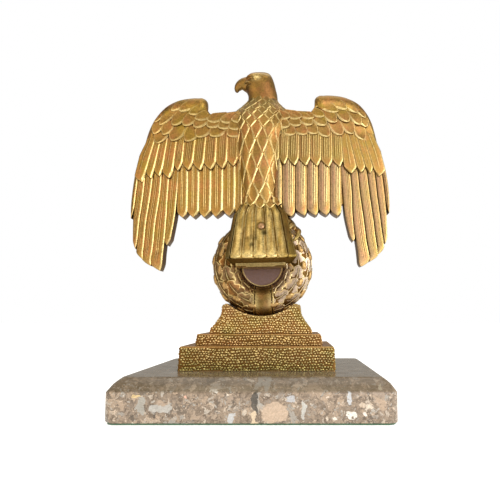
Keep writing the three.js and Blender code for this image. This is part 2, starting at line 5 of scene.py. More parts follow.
import bpy
import numpy as np
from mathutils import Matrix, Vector


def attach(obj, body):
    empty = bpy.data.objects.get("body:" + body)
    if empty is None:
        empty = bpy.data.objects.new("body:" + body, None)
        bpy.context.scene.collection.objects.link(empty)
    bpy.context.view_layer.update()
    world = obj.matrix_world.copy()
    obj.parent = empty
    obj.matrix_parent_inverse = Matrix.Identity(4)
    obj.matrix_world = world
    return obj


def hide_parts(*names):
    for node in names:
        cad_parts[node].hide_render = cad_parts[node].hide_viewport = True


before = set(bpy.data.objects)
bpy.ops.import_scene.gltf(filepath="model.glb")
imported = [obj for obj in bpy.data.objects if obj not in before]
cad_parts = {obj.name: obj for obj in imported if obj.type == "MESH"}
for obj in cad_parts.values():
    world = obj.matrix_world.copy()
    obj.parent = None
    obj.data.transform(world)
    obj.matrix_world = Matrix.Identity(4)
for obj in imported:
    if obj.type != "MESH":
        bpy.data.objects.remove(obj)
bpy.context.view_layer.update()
print("frame loaded")

mm = 0.001


# Numbers and curves

def mix(a, b, t):
    return a + (b - a) * t


def smoothStep(low, high, x):
    t = np.clip((x - low) / (high - low), 0, 1)
    return t * t * (3 - 2 * t)


def inOrder(rows):
    table = np.asarray(rows, float)
    return table[table[:, 0].argsort(kind="stable")]


# A smooth curve through a short table of rows [place, value, ...]
def curveAt(rows, at, column=1):
    table = inOrder(rows)
    places = table[:, 0]
    values = table[:, column]
    at = np.clip(np.asarray(at, float), places[0], places[-1])
    i = np.clip(np.searchsorted(places, at) - 1, 0, len(places) - 2)
    gap = places[i + 1] - places[i]
    t = (at - places[i]) / gap
    slope = np.gradient(values, places) if len(places) > 2 else np.full(2, np.diff(values) / np.diff(places))
    rise = values[i + 1] - values[i]
    start = slope[i] * gap
    end = slope[i + 1] * gap
    return values[i] + t * start + t * t * (3 * rise - 2 * start - end) + t ** 3 * (start + end - 2 * rise)


# Straight lines through the same kind of table
def lineAt(rows, at, column=1):
    table = inOrder(rows)
    return np.interp(at, table[:, 0], table[:, column])


# Meshes are gathered in millimetres as closed shells, then built in one go

def newCasting():
    return {"points": [], "faces": [], "wearAndHighlight": [], "dirtAndShade": [], "patina": [], "tone": [], "count": 0}


# Adds points and faces as they are
def addMesh(casting, points, faces, wearAndHighlight=0.0, dirtAndShade=0.0, patina=0.0, tone=0.0):
    start = casting["count"]
    count = len(points)
    casting["points"].append(np.array(points, float))
    casting["faces"] += [tuple(int(i) + start for i in face) for face in faces]
    for layer, values in (("wearAndHighlight", wearAndHighlight), ("dirtAndShade", dirtAndShade), ("patina", patina), ("tone", tone)):
        casting[layer].append(np.array(np.broadcast_to(values, count), float))
    casting["count"] += count


# A closed shell through rings of points; its ends are capped, or joined to each other
def addShell(casting, rings, wearAndHighlight=0.0, dirtAndShade=0.0, patina=0.0, tone=0.0, joined=False):
    rings = np.asarray(rings, float)
    count, sides = rings.shape[:2]
    points = rings.reshape(-1, 3)
    layers = [np.broadcast_to(v, (count, sides)).reshape(-1) for v in (wearAndHighlight, dirtAndShade, patina, tone)]
    index = np.arange(count * sides).reshape(count, sides)
    around = np.roll(index, -1, axis=1)
    if joined:
        quads = np.stack([index, around, np.roll(around, -1, 0), np.roll(index, -1, 0)], -1).reshape(-1, 4)
        faces = quads.tolist()
    else:
        quads = np.stack([index[:-1], around[:-1], around[1:], index[1:]], -1).reshape(-1, 4)
        faces = quads.tolist()
        points = np.vstack([points, rings[0].mean(0), rings[-1].mean(0)])
        layers = [np.append(v, [v[:sides].mean(), v[-sides:].mean()]) for v in layers]
        first = count * sides
        last = first + 1
        faces += [(first, b, a) for a, b in zip(index[0].tolist(), around[0].tolist())]
        faces += [(last, a, b) for a, b in zip(index[-1].tolist(), around[-1].tolist())]
    centred = points - points.mean(0)
    volume = sum(
        np.einsum("ij,ij->", centred[quads[:, 0]], np.cross(centred[quads[:, b]], centred[quads[:, c]]))
        for b, c in ((1, 2), (2, 3)))
    if volume < 0:
        faces = [tuple(reversed(face)) for face in faces]
    addMesh(casting, points, faces, *layers)


def toObject(casting, name, sharpAngle=38):
    mesh = bpy.data.meshes.new(name)
    points = np.vstack(casting["points"]) * mm
    mesh.from_pydata(points.tolist(), [], casting["faces"])
    for layer in ("wearAndHighlight", "dirtAndShade", "patina", "tone"):
        values = np.concatenate(casting[layer]).astype(np.float32)
        mesh.attributes.new(layer, "FLOAT", "POINT").data.foreach_set("value", values)
    mesh.update()
    mesh.shade_smooth()
    mesh.set_sharp_from_angle(angle=math.radians(sharpAngle))
    piece = bpy.data.objects.new(name, mesh)
    bpy.context.scene.collection.objects.link(piece)
    return piece


# One skin over shells that cross each other, as clay is smoothed before it is cast
def moulded(casting, voxel, rounds):
    clay = toObject(casting, "clay")
    skin = clay.modifiers.new("skin", "REMESH")
    skin.mode = "VOXEL"
    skin.voxel_size = voxel * mm
    soften = clay.modifiers.new("soften", "SMOOTH")
    soften.factor = 0.5
    soften.iterations = rounds
    shaped = clay.evaluated_get(bpy.context.evaluated_depsgraph_get())
    mesh = shaped.to_mesh()
    points = np.empty(len(mesh.vertices) * 3)
    mesh.vertices.foreach_get("co", points)
    normals = np.empty(len(mesh.vertices) * 3)
    mesh.vertex_normals.foreach_get("vector", normals)
    faces = [tuple(face.vertices) for face in mesh.polygons]
    shaped.to_mesh_clear()
    bpy.data.objects.remove(clay)
    return points.reshape(-1, 3) / mm, normals.reshape(-1, 3), faces


# Distance from points to a line through a few places
def lineDistance(points, path):
    path = np.asarray(path, float)
    best = np.full(len(points), 1e9)
    for start, end in zip(path[:-1], path[1:]):
        along = end - start
        t = np.clip(((points - start) @ along) / (along @ along), 0, 1)
        best = np.minimum(best, np.linalg.norm(points - start - t[:, None] * along, axis=1))
    return best


# A tube along rows of x, y, z and radius
def tubeRings(path, steps, sides):
    path = np.asarray(path, float)
    at = np.linspace(0, len(path) - 1, steps)
    table = np.column_stack([np.arange(len(path)), path])
    rows = np.stack([curveAt(table, at, c) for c in (1, 2, 3, 4)], -1)
    ahead = np.gradient(rows[:, :3], axis=0)
    ahead /= np.linalg.norm(ahead, axis=1)[:, None]
    turn = np.linspace(0, 2 * np.pi, sides, endpoint=False)
    rings = []
    side = np.array([0.3, 1.0, 0.2])
    for (x, y, z, r), forward in zip(rows, ahead):
        side = side - forward * (side @ forward)
        side /= np.linalg.norm(side)
        up = np.cross(forward, side)
        rings.append(np.array([x, y, z]) + r * (np.cos(turn)[:, None] * side + np.sin(turn)[:, None] * up))
    return rings


# Moves a casting from the frame of the wreath's middle to the object's own frame
upperMiddle = (1.2, 0.0, 98.8)
birdLean = math.radians(-1.25)


def settle(casting, lean=0.0):
    for points in casting["points"]:
        x = points[:, 0].copy()
        z = points[:, 2].copy()
        points[:, 0] = x * math.cos(lean) + z * math.sin(lean) + upperMiddle[0]
        points[:, 2] = z * math.cos(lean) - x * math.sin(lean) + upperMiddle[2]


# Blades: feathers, scales and leaves

# Places and heights across a blade: a facet at either side, a crown and raised lines between
def bladeColumns(half, t, look):
    power = look.get("facetPower", 3)
    inner = min(mix(*look["inner"], t ** power), 0.46 * half)
    outer = min(mix(*look["outer"], t ** power), 0.46 * half)
    reach = look.get("lineHalf", 0.06)
    lines = look.get("lines", ())
    before, after = look.get("lineDirt", (0.5, 0.5))
    rubbedAndHighlight = look.get("lineWear", 0.75)
    steps = [(c, 0.0, 0.0, 0.0) for c in look["columns"] if all(abs(c - p) > 1.5 * reach for p in lines)]
    for p in lines:
        steps += [(p - reach, -0.5, before, 0.0), (p - 0.5 * reach, 1.0, 0.0, rubbedAndHighlight),
                  (p + 0.5 * reach, 1.0, 0.0, rubbedAndHighlight), (p + reach, -0.5, after, 0.0)]
    across, ridges, lineDirt, lineWear = np.array(sorted(steps)).T
    body = mix(-half + inner, half - outer, (across + 1) / 2)
    slope = look.get("slope", 0.9)
    # Edge wear and dirt by side: partly rubbing and dirt, partly painted highlight and painted shade
    left, right = look.get("edgeWearAndHighlight", (0.8, 0.8))
    low, high = look.get("edgeDirtAndShade", (0.1, 0.1))
    nearEdge = np.where(across < 0, left, right) * np.exp(-((1 - np.abs(across)) / 0.12) ** 2)
    return {
        "places": np.concatenate([[-half, -half + 0.45 * inner], body, [half - 0.45 * outer, half]]),
        "drop": np.concatenate([
            [slope * inner, 0.5 * slope * inner], 0 * body, [0.5 * slope * outer, slope * outer]]),
        "ridges": np.pad(ridges, 2),
        "wearAndHighlight": np.concatenate([[0.8 * left, left], nearEdge, [right, 0.8 * right]]),
        "dirtAndShade": np.concatenate([[low, 0.4 * low], 0 * body, [0.4 * high, high]]),
        "lineWear": np.pad(lineWear, 2),
        "lineDirt": np.pad(lineDirt, 2),
        "tone": np.interp(np.pad(across, 2, mode="edge"), (-1, 0, 1), look.get("tones", (0, 0, 0))),
    }


# stations are places along the blade, halves its half widths there, and place(s, u, h) its surface
def addBlade(casting, stations, halves, place, look, patina=0.0, tone=0.0):
    stations = np.asarray(stations, float)
    length = stations[-1] - stations[0]
    widest = max(halves)
    underAt = np.array(look.get("under", (0.7, -0.7)))
    rings = []
    wearAndHighlightRows = []
    dirtAndShadeRows = []
    tones = []
    for s, half in zip(stations, halves):
        t = (s - stations[0]) / length
        row = bladeColumns(half, t, look)
        places = row["places"]
        lift = mix(look["rootLift"], look["tipLift"], t ** look.get("liftPower", 1.0))
        fade = float(smoothStep(look.get("lineEnd", 0.85), look.get("lineEnd", 0.85) - 0.1, t))
        across = places / max(half, 1e-6)
        heights = lift + look["crown"] * (half / widest) * (1 - across ** 2) - row["drop"]
        heights = heights - look.get("tilt", 0.0) * across * (half / widest)
        heights = heights + row["ridges"] * fade * look.get("lineRise", 0.0)
        if look.get("hollow"):
            dish = np.exp(-(across / 0.62) ** 4)
            heights = heights - look["hollow"] * dish * (half / widest)
        nearTip = float(smoothStep(0.72, 1.0, t))
        flare = look.get("flare", 0.25) + look.get("tipFlare", 0.0) * nearTip
        ends = np.array([-1.0, 1.0])
        foot = place(s + look.get("tipFlare", 0.0) * nearTip * 0.7, ends * (half + flare),
                     heights[[0, -1]] - look["wall"])
        top = place(s, places, heights)
        underDepth = look["thick"] + look.get("underCrown", 0.0) * (1 - underAt ** 2)
        under = place(s, underAt * half, lift - underDepth)
        rings.append(np.vstack([foot[:1], top, foot[1:], under]))
        wornAndHighlight = row["wearAndHighlight"] * mix(look.get("rootWear", 1.0), 1.0, t ** 2)
        wornAndHighlight = np.maximum(wornAndHighlight, row["lineWear"] * fade) * look.get("wearAndHighlight", 1.0)
        wearAndHighlightRows.append(np.concatenate([[0.0], wornAndHighlight, [0.0], 0.0 * underAt]))
        soiledAndShaded = np.maximum(row["dirtAndShade"], row["lineDirt"] * fade)
        # Painted shade: the feet of the walls and the undersides are darkened as if in shadow
        dirtAndShadeRows.append(np.concatenate([[0.9], soiledAndShaded, [0.9], 0.85 + 0.0 * underAt]))
        tones.append(np.concatenate([row["tone"][:1], row["tone"], row["tone"][-1:], 0.0 * underAt]))
    wearAndHighlightRows = np.array(wearAndHighlightRows)
    tipWear = smoothStep(0.9, 1.0, (stations - stations[0]) / length)[:, None] * look.get("tipWear", 0.5)
    last = -len(underAt) - 1
    wearAndHighlightRows[:, 1:last] = np.maximum(wearAndHighlightRows[:, 1:last], tipWear)
    addShell(casting, rings, wearAndHighlightRows, np.array(dirtAndShadeRows), patina, tone + np.array(tones))


# Half widths towards a blade's end, from 1 at its shoulder to a rounded point
def pointed(t, bluntness, edge):
    return np.maximum((1 - np.clip(t, 0, 1) ** bluntness) ** edge, 0.02)


# Wings, in the eagle's own frame: the left one is the mirror of the right

wingLook = {
    "sweep": 0.15, "sweepFrom": 28.0,
    "shift": [[0, -1.9], [35, -1.8], [60, -1.1], [90, -0.8], [105, -0.2], [122, 1]],
    "midDeck": 5.6, "midBack": 3.6, "lowDeck": 4.4, "longDeck": 4.2, "longStep": 0.25,
    "covertBack": 0.62,  # of the coverts' depth at the front
    "swell": 2.0, "swellFrom": 30.0, "swellTo": 12.0,
}
wingEdge = [
    [128.3, 55], [126.5, 68], [122, 75.5], [116, 80.3], [107, 85.4], [95, 90], [82, 92.8], [73, 95],
    [62, 96.7], [47, 97.8], [38, 97.6], [27, 96.3], [17, 94.4],
]
wingTop = [
    [14, 116.8], [24, 115.4], [39, 114.4], [41, 122], [44, 126.2], [53, 127.8], [63, 126.6], [72, 122.4],
    [79, 115.4], [84.4, 107], [89.4, 94.6], [98, 60],
]
rollPath = [
    [40.6, 120.4, 3.2, 3.4, -2.4], [43, 120.9, 6.3, 6.6, -2.4], [48, 121.5, 7.2, 7.6, -2.2],
    [54, 121.7, 7.4, 7.8, -2], [63, 120.6, 7.5, 7.6, -1.8], [72, 116.6, 7.1, 7.2, -1],
    [80.2, 107.6, 5.8, 6, 0], [89.6, 85, 2.8, 3.4, 0.4],
]


def setWing(points, side):
    points = np.array(points, float)
    x = points[..., 0].copy()
    points[..., 1] += wingLook["sweep"] * np.maximum(0, x - wingLook["sweepFrom"])
    points[..., 0] = lineAt(wingLook["shift"], points[..., 2]) + side * x
    return points


# The long feathers' inner edges by height
longEdges = [
    [[84, 59.5], [64, 61.2], [50, 62.4], [40, 63.2], [30, 65], [18, 67.6]],
    [[84, 67.5], [67, 68.4], [58, 69.1], [38, 69.8], [23, 71], [12.7, 72.3], [0, 73.4]],
    [[84, 73.4], [69, 74.2], [58, 75.1], [33, 78.5], [17, 80.1], [4.6, 82.3]],
    [[84, 80], [69, 81.2], [54, 82.9], [33, 85.8], [17, 87.4], [9, 88.6]],
    [[84, 86], [67, 87.4], [54, 88.6], [37, 90.8], [23, 92.2], [16, 93.2]],
    [[84, 91], [67, 93], [54, 94.5], [38, 95.8]],
]
# Their tips, the length over which each tip narrows, and the height of its root
longTips = [
    [69.4, 18.0, 4.5, 83], [74.8, -1, 6.0, 82], [81.6, 2.8, 5.5, 81], [87.8, 7.8, 6.0, 81],
    [93.6, 16, 6.5, 83], [97.4, 39.4, 9.0, 87],
]
# The middle row by side: where its edges are at the bottom and at the top, and its tips
midRow = {
    "rootZ": 104, "tipLength": 5.4, "bottomZ": 77.0, "topZ": 97.0,
    "bottom": {-1: [7, 15, 23.1, 31.6, 40.7, 49.1, 57.4, 64.2, 72.4, 79.1, 85.2, 94],
               1: [7, 15, 21.5, 29.5, 38, 46.1, 54.7, 62.8, 72.2, 78.9, 84.7, 94]},
    "top": {-1: [7.5, 15.1, 22.8, 31, 39.3, 47.4, 55.9, 62, 69.5, 75, 79.8, 89],
            1: [7.5, 14.9, 22.1, 29.9, 38.1, 46.2, 54.4, 61.4, 67.8, 73.6, 79, 89]},
    "tips": {-1: [[11, 73.5], [18.7, 73.6], [27, 72.4], [36, 72.3], [44, 72.5], [52.9, 73.2], [61.2, 73.4],
                  [68, 68.2], [75.4, 70], [82.2, 69], [89, 66.5]],
             1: [[11, 73.5], [18.3, 74.2], [25.8, 73.7], [34.1, 73.8], [42.4, 73.7], [51, 73.2], [59.3, 73.4],
                 [68.2, 68.8], [75.7, 69.6], [82.6, 69.4], [89.6, 67]]},
}
lowRow = {
    "rootZ": 81, "tipLength": 5.0,
    "edges": {-1: [3.5, 11.6, 17.1, 26.4, 35.4, 44.6, 53.4, 61.6],
              1: [3.5, 11.2, 17.2, 26.5, 35.2, 43.7, 52.5, 61.2]},
    "tips": {-1: [[8, 36.8], [14.4, 36.4], [21.6, 37.2], [31.8, 37.2], [40.5, 37.4], [49, 37.8], [57.2, 38]],
             1: [[8, 36.8], [14.2, 36], [23.4, 36], [33.2, 36.8], [41.4, 37], [49.4, 37.4], [58, 36.8]]},
}


def midEdge(side, k, z):
    bottom = midRow["bottom"][side][k]
    top = midRow["top"][side][k]
    return mix(bottom, top, (z - midRow["bottomZ"]) / (midRow["topZ"] - midRow["bottomZ"]))


# A feather between two edges that are given by height
def addFeather(casting, side, inner, outer, zTop, tip, tipLength, deck, look, front=True):
    tipX, tipZ = tip
    straight = np.linspace(0, zTop - tipZ - tipLength, look["rows"])
    ending = zTop - tipZ - tipLength + tipLength * np.array([0.14, 0.3, 0.46, 0.62, 0.76, 0.88, 0.96, 1.0])
    stations = np.concatenate([straight, ending])
    z = zTop - stations
    left = np.array([inner(v) for v in z])
    right = np.array([outer(v) for v in z])
    end = np.clip((tipZ + tipLength - z) / tipLength, 0, 1)
    halves = (right - left) / 2 * pointed(end, look["bluntness"], look["edge"])
    centres = mix((left + right) / 2, tipX, end ** 1.5)

    def place(s, u, h):
        level = zTop - s
        x = np.interp(s, stations, centres) + np.asarray(u)
        swell = wingLook["swell"] * smoothStep(wingLook["swellFrom"], wingLook["swellTo"], x)
        y = -(deck + swell + np.asarray(h)) if front else deck + np.asarray(h)
        points = np.stack(np.broadcast_arrays(x, y, level), -1)
        return setWing(points, side)

    addBlade(casting, stations, halves, place, look, look.get("patina", 0.0))


# How far forward the smooth roll stands over the wing, or nothing where it doesn't reach
rollSamples = np.array([
    [x] + [float(curveAt(rollPath, x, c)) for c in (1, 2, 3, 4)] for x in np.linspace(40.6, 89.6, 60)])


def rollFront(x, z):
    x = np.asarray(x, float)
    z = np.asarray(z, float)
    apart = np.hypot(x[..., None] - rollSamples[:, 0], z[..., None] - rollSamples[:, 1])
    ratio = apart / rollSamples[:, 2]
    best = ratio.argmin(-1)
    r = np.minimum(np.take_along_axis(ratio, best[..., None], -1)[..., 0], 1)
    return -rollSamples[best, 4] + rollSamples[best, 3] * np.sqrt(1 - r * r)


# Depth of the wing under its coverts, positive towards the front
def covertDeck(x, z):
    x = np.asarray(x, float)
    z = np.asarray(z, float)
    base = 6.6 + 1.6 * smoothStep(98, 112, z) - 2.2 * smoothStep(70, 92, x) + 1.6 * smoothStep(28, 14, x)
    return np.maximum(base, rollFront(x, z))


# Coverts by side, lowest row first: where each tip is and how far its axis dips
covertTips = {
    -1: [
        [[23.4, 97, 28], [36.3, 97.3, 40], [47, 97.5, 46], [55.2, 94.8, 54], [66.3, 96.1, 58],
         [78, 95.4, 64]],
        [[22.5, 102.2, 24], [30.4, 103.1, 26], [38.8, 104.4, 30], [49, 104.9, 38], [57.2, 106.6, 44],
         [65.6, 107.4, 50], [73, 101.1, 57], [80.6, 102.6, 62]],
        [[20.5, 107.6, 12], [29, 107.9, 12], [38.8, 109, 14], [48.2, 110.9, 18]],
        [[53.4, 115.4, 14], [61, 118, 24], [67, 118.6, 33], [76, 108.8, 46], [80.4, 111.4, 54]],
    ],
    1: [
        [[16, 96.5, 20], [26.8, 97, 32], [35.4, 97.2, 38], [43, 97.9, 42], [51.9, 96.1, 48], [61.7, 97.5, 54],
         [70, 98.7, 58], [78.6, 94.8, 64], [84, 93.1, 70]],
        [[22.5, 102.6, 22], [30.9, 103.9, 26], [39.6, 104.5, 32], [49.6, 104.3, 38], [57.2, 106.6, 44],
         [66.6, 107.4, 50], [75.6, 105.7, 57], [80.6, 104.6, 62]],
        [[22.5, 109, 12], [31.3, 109.4, 14], [40.4, 109.5, 18], [48, 110.9, 22]],
        [[58.2, 114.9, 22], [64.6, 117.1, 28], [73, 114.8, 40], [79.4, 111.4, 54]],
    ],
}
covertSizes = {
    -1: [[18, 5.9, 1.2], [17, 4.9, 1.3], [15, 3.9, 1.3], [20, 3.8, 0.8]],
    1: [[16, 4.9, 1.1], [16, 4.4, 1.2], [14, 3.4, 1.2], [19, 3.6, 0.8]],
}
covertLook = {
    "columns": (-1, -0.75, -0.4, 0, 0.4, 0.75, 1), "inner": (0.8, 1.25), "outer": (0.3, 0.45), "slope": 0.2,
    "crown": 0.3, "hollow": 0.5, "rootLift": -1.0, "tipLift": 1.0, "liftPower": 1.2, "wall": 1.0,
    "flare": 0.2, "tipFlare": 0.3, "edgeWearAndHighlight": (1.0, 0.4), "edgeDirtAndShade": (0.0, 0.7), "thick": 3.0, "wearAndHighlight": 1.0,
    "tipWear": 0.8, "rootWear": 0.5, "facetPower": 1, "backThick": 2.0,
}


def addCovert(casting, side, tip, length, half, lift, front=True):
    tipX, tipZ, turn = tip
    turn = math.radians(turn)
    along = (math.cos(turn), -math.sin(turn))
    across = (math.sin(turn), math.cos(turn))
    stations = length * np.array([0, 0.15, 0.3, 0.42, 0.52, 0.6, 0.68, 0.75, 0.81, 0.87, 0.92, 0.96, 1.0])
    t = stations / length
    halves = half * np.where(
        t < 0.55, 0.8 + 0.2 * np.sin(np.pi * t / 1.1), pointed((t - 0.55) / 0.45, 2.0, 0.72))

    def place(s, u, h):
        x = tipX + along[0] * (s - length) + across[0] * np.asarray(u)
        z = tipZ + along[1] * (s - length) + across[1] * np.asarray(u)
        x = np.minimum(x, lineAt(wingEdge, z) - 0.3)
        z = np.minimum(z, lineAt(wingTop, x) - 0.8)
        deck = covertDeck(x, z)
        y = -(deck + h) if front else deck * wingLook["covertBack"] + h
        return setWing(np.stack(np.broadcast_arrays(x, y, z), -1), side)

    look = dict(covertLook, tipLift=lift, thick=covertLook["thick" if front else "backThick"])
    addBlade(casting, stations, halves, place, look)


bodyColumns = (-1, -0.8, -0.5, -0.2, 0.2, 0.5, 0.8, 1)
# Painted light on both wings: feather edges towards +x, the key light's side, are made bright and those
# towards -x dark, mirrored by side, over the rubbed edges
midLook = {
    -1: {
        "rows": 8, "columns": bodyColumns, "lines": (-0.36, 0.02, 0.4), "lineHalf": 0.12, "lineRise": 0.09,
        "lineEnd": 0.84, "lineWear": 0.3, "lineDirt": (0.5, 0.35), "inner": (0.75, 2.0),
        "outer": (0.25, 0.45), "slope": 0.8, "crown": 0.12, "rootLift": 0.5, "tipLift": 1.5, "wall": 0.9,
        "flare": 0.12, "tipFlare": 0.5, "thick": 3.6, "tilt": 0.2, "wearAndHighlight": 1.0, "tipWear": 0.3,
        "rootWear": 0.45, "bluntness": 1.35, "edge": 0.95, "facetPower": 5, "edgeWearAndHighlight": (1.0, 0.4),
        "edgeDirtAndShade": (0.0, 0.7),
    },
}
midLook[1] = dict(midLook[-1], inner=(0.25, 0.5), outer=(0.5, 1.6), tilt=0.0, edgeWearAndHighlight=(0.4, 1.0),
                  edgeDirtAndShade=(0.7, 0.0), lines=(-0.45, 0.0, 0.45), lineHalf=0.13, lineWear=0.4,
                  lineDirt=(0.75, 0.55), rootWear=0.5, tones=(0.1, 0.3, 0.2))
lowLook = {
    -1: dict(
        midLook[-1], lines=(-0.2, 0.14), lineHalf=0.11, lineRise=0.2, lineEnd=0.86, lineWear=1.0,
        lineDirt=(0.6, 0.1), crown=0.3, inner=(1.3, 1.4), outer=(0.25, 0.3), slope=0.6, tipLift=0.7, wall=1.0,
        tipFlare=0.1, tilt=0.15, thick=9.2, rows=7, rootWear=0.8, under=(1.12, 0.6, 0.2, -0.2, -0.6, -1.12),
        underCrown=0.8, overlap=0.0, bluntness=1.5, edge=0.9, edgeDirtAndShade=(0.0, 0.5)),
}
# Painted sheen: the negative tones give the inner part of the right wing's lower feathers, and of the long
# feathers below, a pale pinkish sheen
lowLook[1] = dict(lowLook[-1], lines=(0.0, 0.34, 0.66), lineHalf=0.12, lineRise=0.3, lineWear=0.85,
                  lineDirt=(0.95, 0.5), inner=(0.3, 0.5), outer=(0.3, 0.5), crown=0.7, tilt=0.0,
                  bluntness=1.9, edge=0.75, edgeWearAndHighlight=(0.2, 0.6), edgeDirtAndShade=(0.8, 0.6),
                  tones=(-0.8, -0.45, 0.15), overlap=-0.22)
longLook = {
    -1: dict(lowLook[-1], rows=13, crown=0.45, lines=(-0.15, 0.25), lineWear=0.6, inner=(0.8, 0.7), tilt=0.25,
             tipLift=0.4, edgeWearAndHighlight=(0.85, 0.3), thick=8.6, lineEnd=0.93,
             under=(1.05, 0.6, 0.2, -0.2, -0.6, -1.12)),
    1: dict(lowLook[1], rows=13, crown=0.4, lines=(0.05, 0.45), lineHalf=0.1, inner=(0.3, 0.3),
            outer=(0.6, 0.6), tipLift=0.4, thick=8.6, lineEnd=0.93, lineRise=0.2, lineWear=0.5,
            lineDirt=(0.55, 0.35), edgeWearAndHighlight=(0.1, 0.9), edgeDirtAndShade=(1.0, 0.0), tones=(-0.6, -0.4, -0.1),
            under=(1.05, 0.6, 0.2, -0.2, -0.6, -1.12)),
}


def addWing(casting, side):
    overlap = lowLook[side]["overlap"]
    for k, (tipX, tipZ) in enumerate(midRow["tips"][side]):
        for front in (True, False):
            look = midLook[side]
            if k > 6:
                look = dict(look, lines=(0.1,), lineDirt=(0.3, 0.3))
            elif side > 0:
                look = dict(look, patina=0.3 if k < 4 else 0.15)
            if not front:
                look = dict(look, lines=(0.0,), tipLift=1.0, columns=(-1, -0.5, 0.5, 1))
            addFeather(
                casting, side, lambda z: midEdge(side, k, z) - 0.05,
                lambda z: min(midEdge(side, k + 1, z) + 0.05,
                              float(lineAt(wingEdge, z) - 0.1 - 2.2 * smoothStep(86, 97, z))),
                midRow["rootZ"] - 0.45 * max(k - 1, 0), (tipX, tipZ), midRow["tipLength"],
                wingLook["midDeck"] if front else wingLook["midBack"], look, front)
    edges = lowRow["edges"][side]
    for k, (tipX, tipZ) in enumerate(lowRow["tips"][side]):
        addFeather(
            casting, side, lambda z: edges[k] - overlap, lambda z: edges[k + 1] + overlap,
            lowRow["rootZ"], (tipX, tipZ), lowRow["tipLength"],
            wingLook["lowDeck"], lowLook[side])
    for k, (tipX, tipZ, tipLength, rootZ) in enumerate(longTips):
        outerRows = longEdges[k + 1] if k + 1 < len(longEdges) else wingEdge
        addFeather(
            casting, side, lambda z: float(curveAt(longEdges[k], z)) - overlap,
            lambda z: float(curveAt(outerRows, z)) + (overlap if k + 1 < len(longEdges) else 0),
            rootZ, (tipX, tipZ), tipLength, wingLook["longDeck"] + wingLook["longStep"] * k, longLook[side])
    for tips, (length, half, lift) in zip(covertTips[side], covertSizes[side]):
        for tip in tips:
            for front in (True, False):
                addCovert(casting, side, tip, length, half, lift, front)
    addPlates(casting, side)
    addRoll(casting, side)


# The slabs that carry the coverts and the feathers' roots
plateLook = [
    {"front": 5.6, "back": 4.2, "outline": [
        (4, 80), (4, 112), (14, 116.4), (24, 115.2), (39, 114.2), (44, 114), (60, 113), (72, 110.5),
        (80, 103.5), (85, 98.5), (89, 91), (91, 80)]},
    {"front": 3.4, "back": 3.6, "outline": [
        (4, 45), (4, 84), (90, 84), (92.6, 72), (93.4, 56), (92, 46), (62, 46)]},
]


def addPlates(casting, side):
    for look in plateLook:
        front = look["front"]
        back = look["back"]
        ring = []
        for corner, after in zip(look["outline"], look["outline"][1:] + look["outline"][:1]):
            ring += [[mix(a, b, t) for a, b in zip(corner, after)] for t in (0, 0.25, 0.5, 0.75)]
        ring = np.array(ring)
        middle = ring.mean(0)
        rings = []
        for y, keep in ((back, 0.985), (back - 1, 1), (1 - front, 1), (-front, 0.985)):
            flat = middle + (ring - middle) * keep
            rings.append(setWing(np.column_stack([flat[:, 0], np.full(len(flat), y), flat[:, 1]]), side))
        addShell(casting, rings, 0.0, 0.2)


# Its inner end is a round knob up to roundTo
rollLook = {"from": 40.2, "to": 89.6, "steps": 44, "sides": 26, "round": 3.4, "roundTo": 43.6,
            "endHigh": 6.5, "endDeep": 6.8}


def addRoll(casting, side):
    look = rollLook
    rings = []
    for x in np.linspace(look["from"], look["to"], look["steps"]):
        z, high, deep, y = (float(curveAt(rollPath, x, c)) for c in (1, 2, 3, 4))
        ahead = float(curveAt(rollPath, x + 0.4, 1)) - float(curveAt(rollPath, x - 0.4, 1))
        slope = math.atan2(ahead, 0.8)
        if x < look["roundTo"]:
            shrink = math.sqrt(max(0.02, 1 - ((look["roundTo"] - x) / look["round"]) ** 2))
            high = look["endHigh"] * shrink
            deep = look["endDeep"] * shrink
        turn = np.linspace(0, 2 * np.pi, look["sides"], endpoint=False)
        off = high * np.cos(turn)
        rings.append(np.column_stack([
            x - off * math.sin(slope), y + deep * np.sin(turn), z + off * math.cos(slope)]))
    addShell(casting, [setWing(r, side) for r in rings], 0.0, 0.0)


# The trunk, from the throat to the root of the tail: z, left x, right x, front y, back y
trunkTable = [
    [134, -10.6, 12.6, -8.6, 8.7], [131, -8.4, 13, -8.3, 8.3], [127.2, -8.5, 13.4, -8.4, 8.2],
    [123.8, -10.7, 14.6, -8.8, 8.3], [120.4, -14.2, 17.4, -9.6, 8.4], [118, -17.2, 20, -10.4, 8.5],
    [114, -20, 21.5, -11.6, 8.8], [110, -19.5, 20.5, -12.8, 9.1], [104, -18.6, 19, -14.2, 9.6],
    [95, -17.3, 16.0, -14.6, 10], [80, -16.8, 14.6, -14.6, 10], [66, -15, 12.4, -14.0, 9.5],
    [52, -13.4, 11.4, -13.2, 8.6], [36, -12.4, 12.4, -12.6, 8],
]
trunkPower = 2.6  # above 2 its section is squarer than an ellipse


# A point on the trunk: angle 0 faces front, rise is off its surface
def onTrunk(z, angle, rise):
    z = np.asarray(z, float)
    left = curveAt(trunkTable, z, 1)
    right = curveAt(trunkTable, z, 2)
    front = -curveAt(trunkTable, z, 3)
    back = curveAt(trunkTable, z, 4)
    half = (right - left) / 2
    depth = np.where(np.cos(angle) > 0, front, back)
    power = mix(2.0, trunkPower, smoothStep(122, 108, z))
    across = np.abs(np.sin(angle))
    x = (left + right) / 2 + (half + rise) * np.sin(angle)
    y = -(depth + rise) * np.sign(np.cos(angle)) * np.maximum(1 - across ** power, 0) ** (1 / power)
    return np.stack(np.broadcast_arrays(x, y, z), -1)


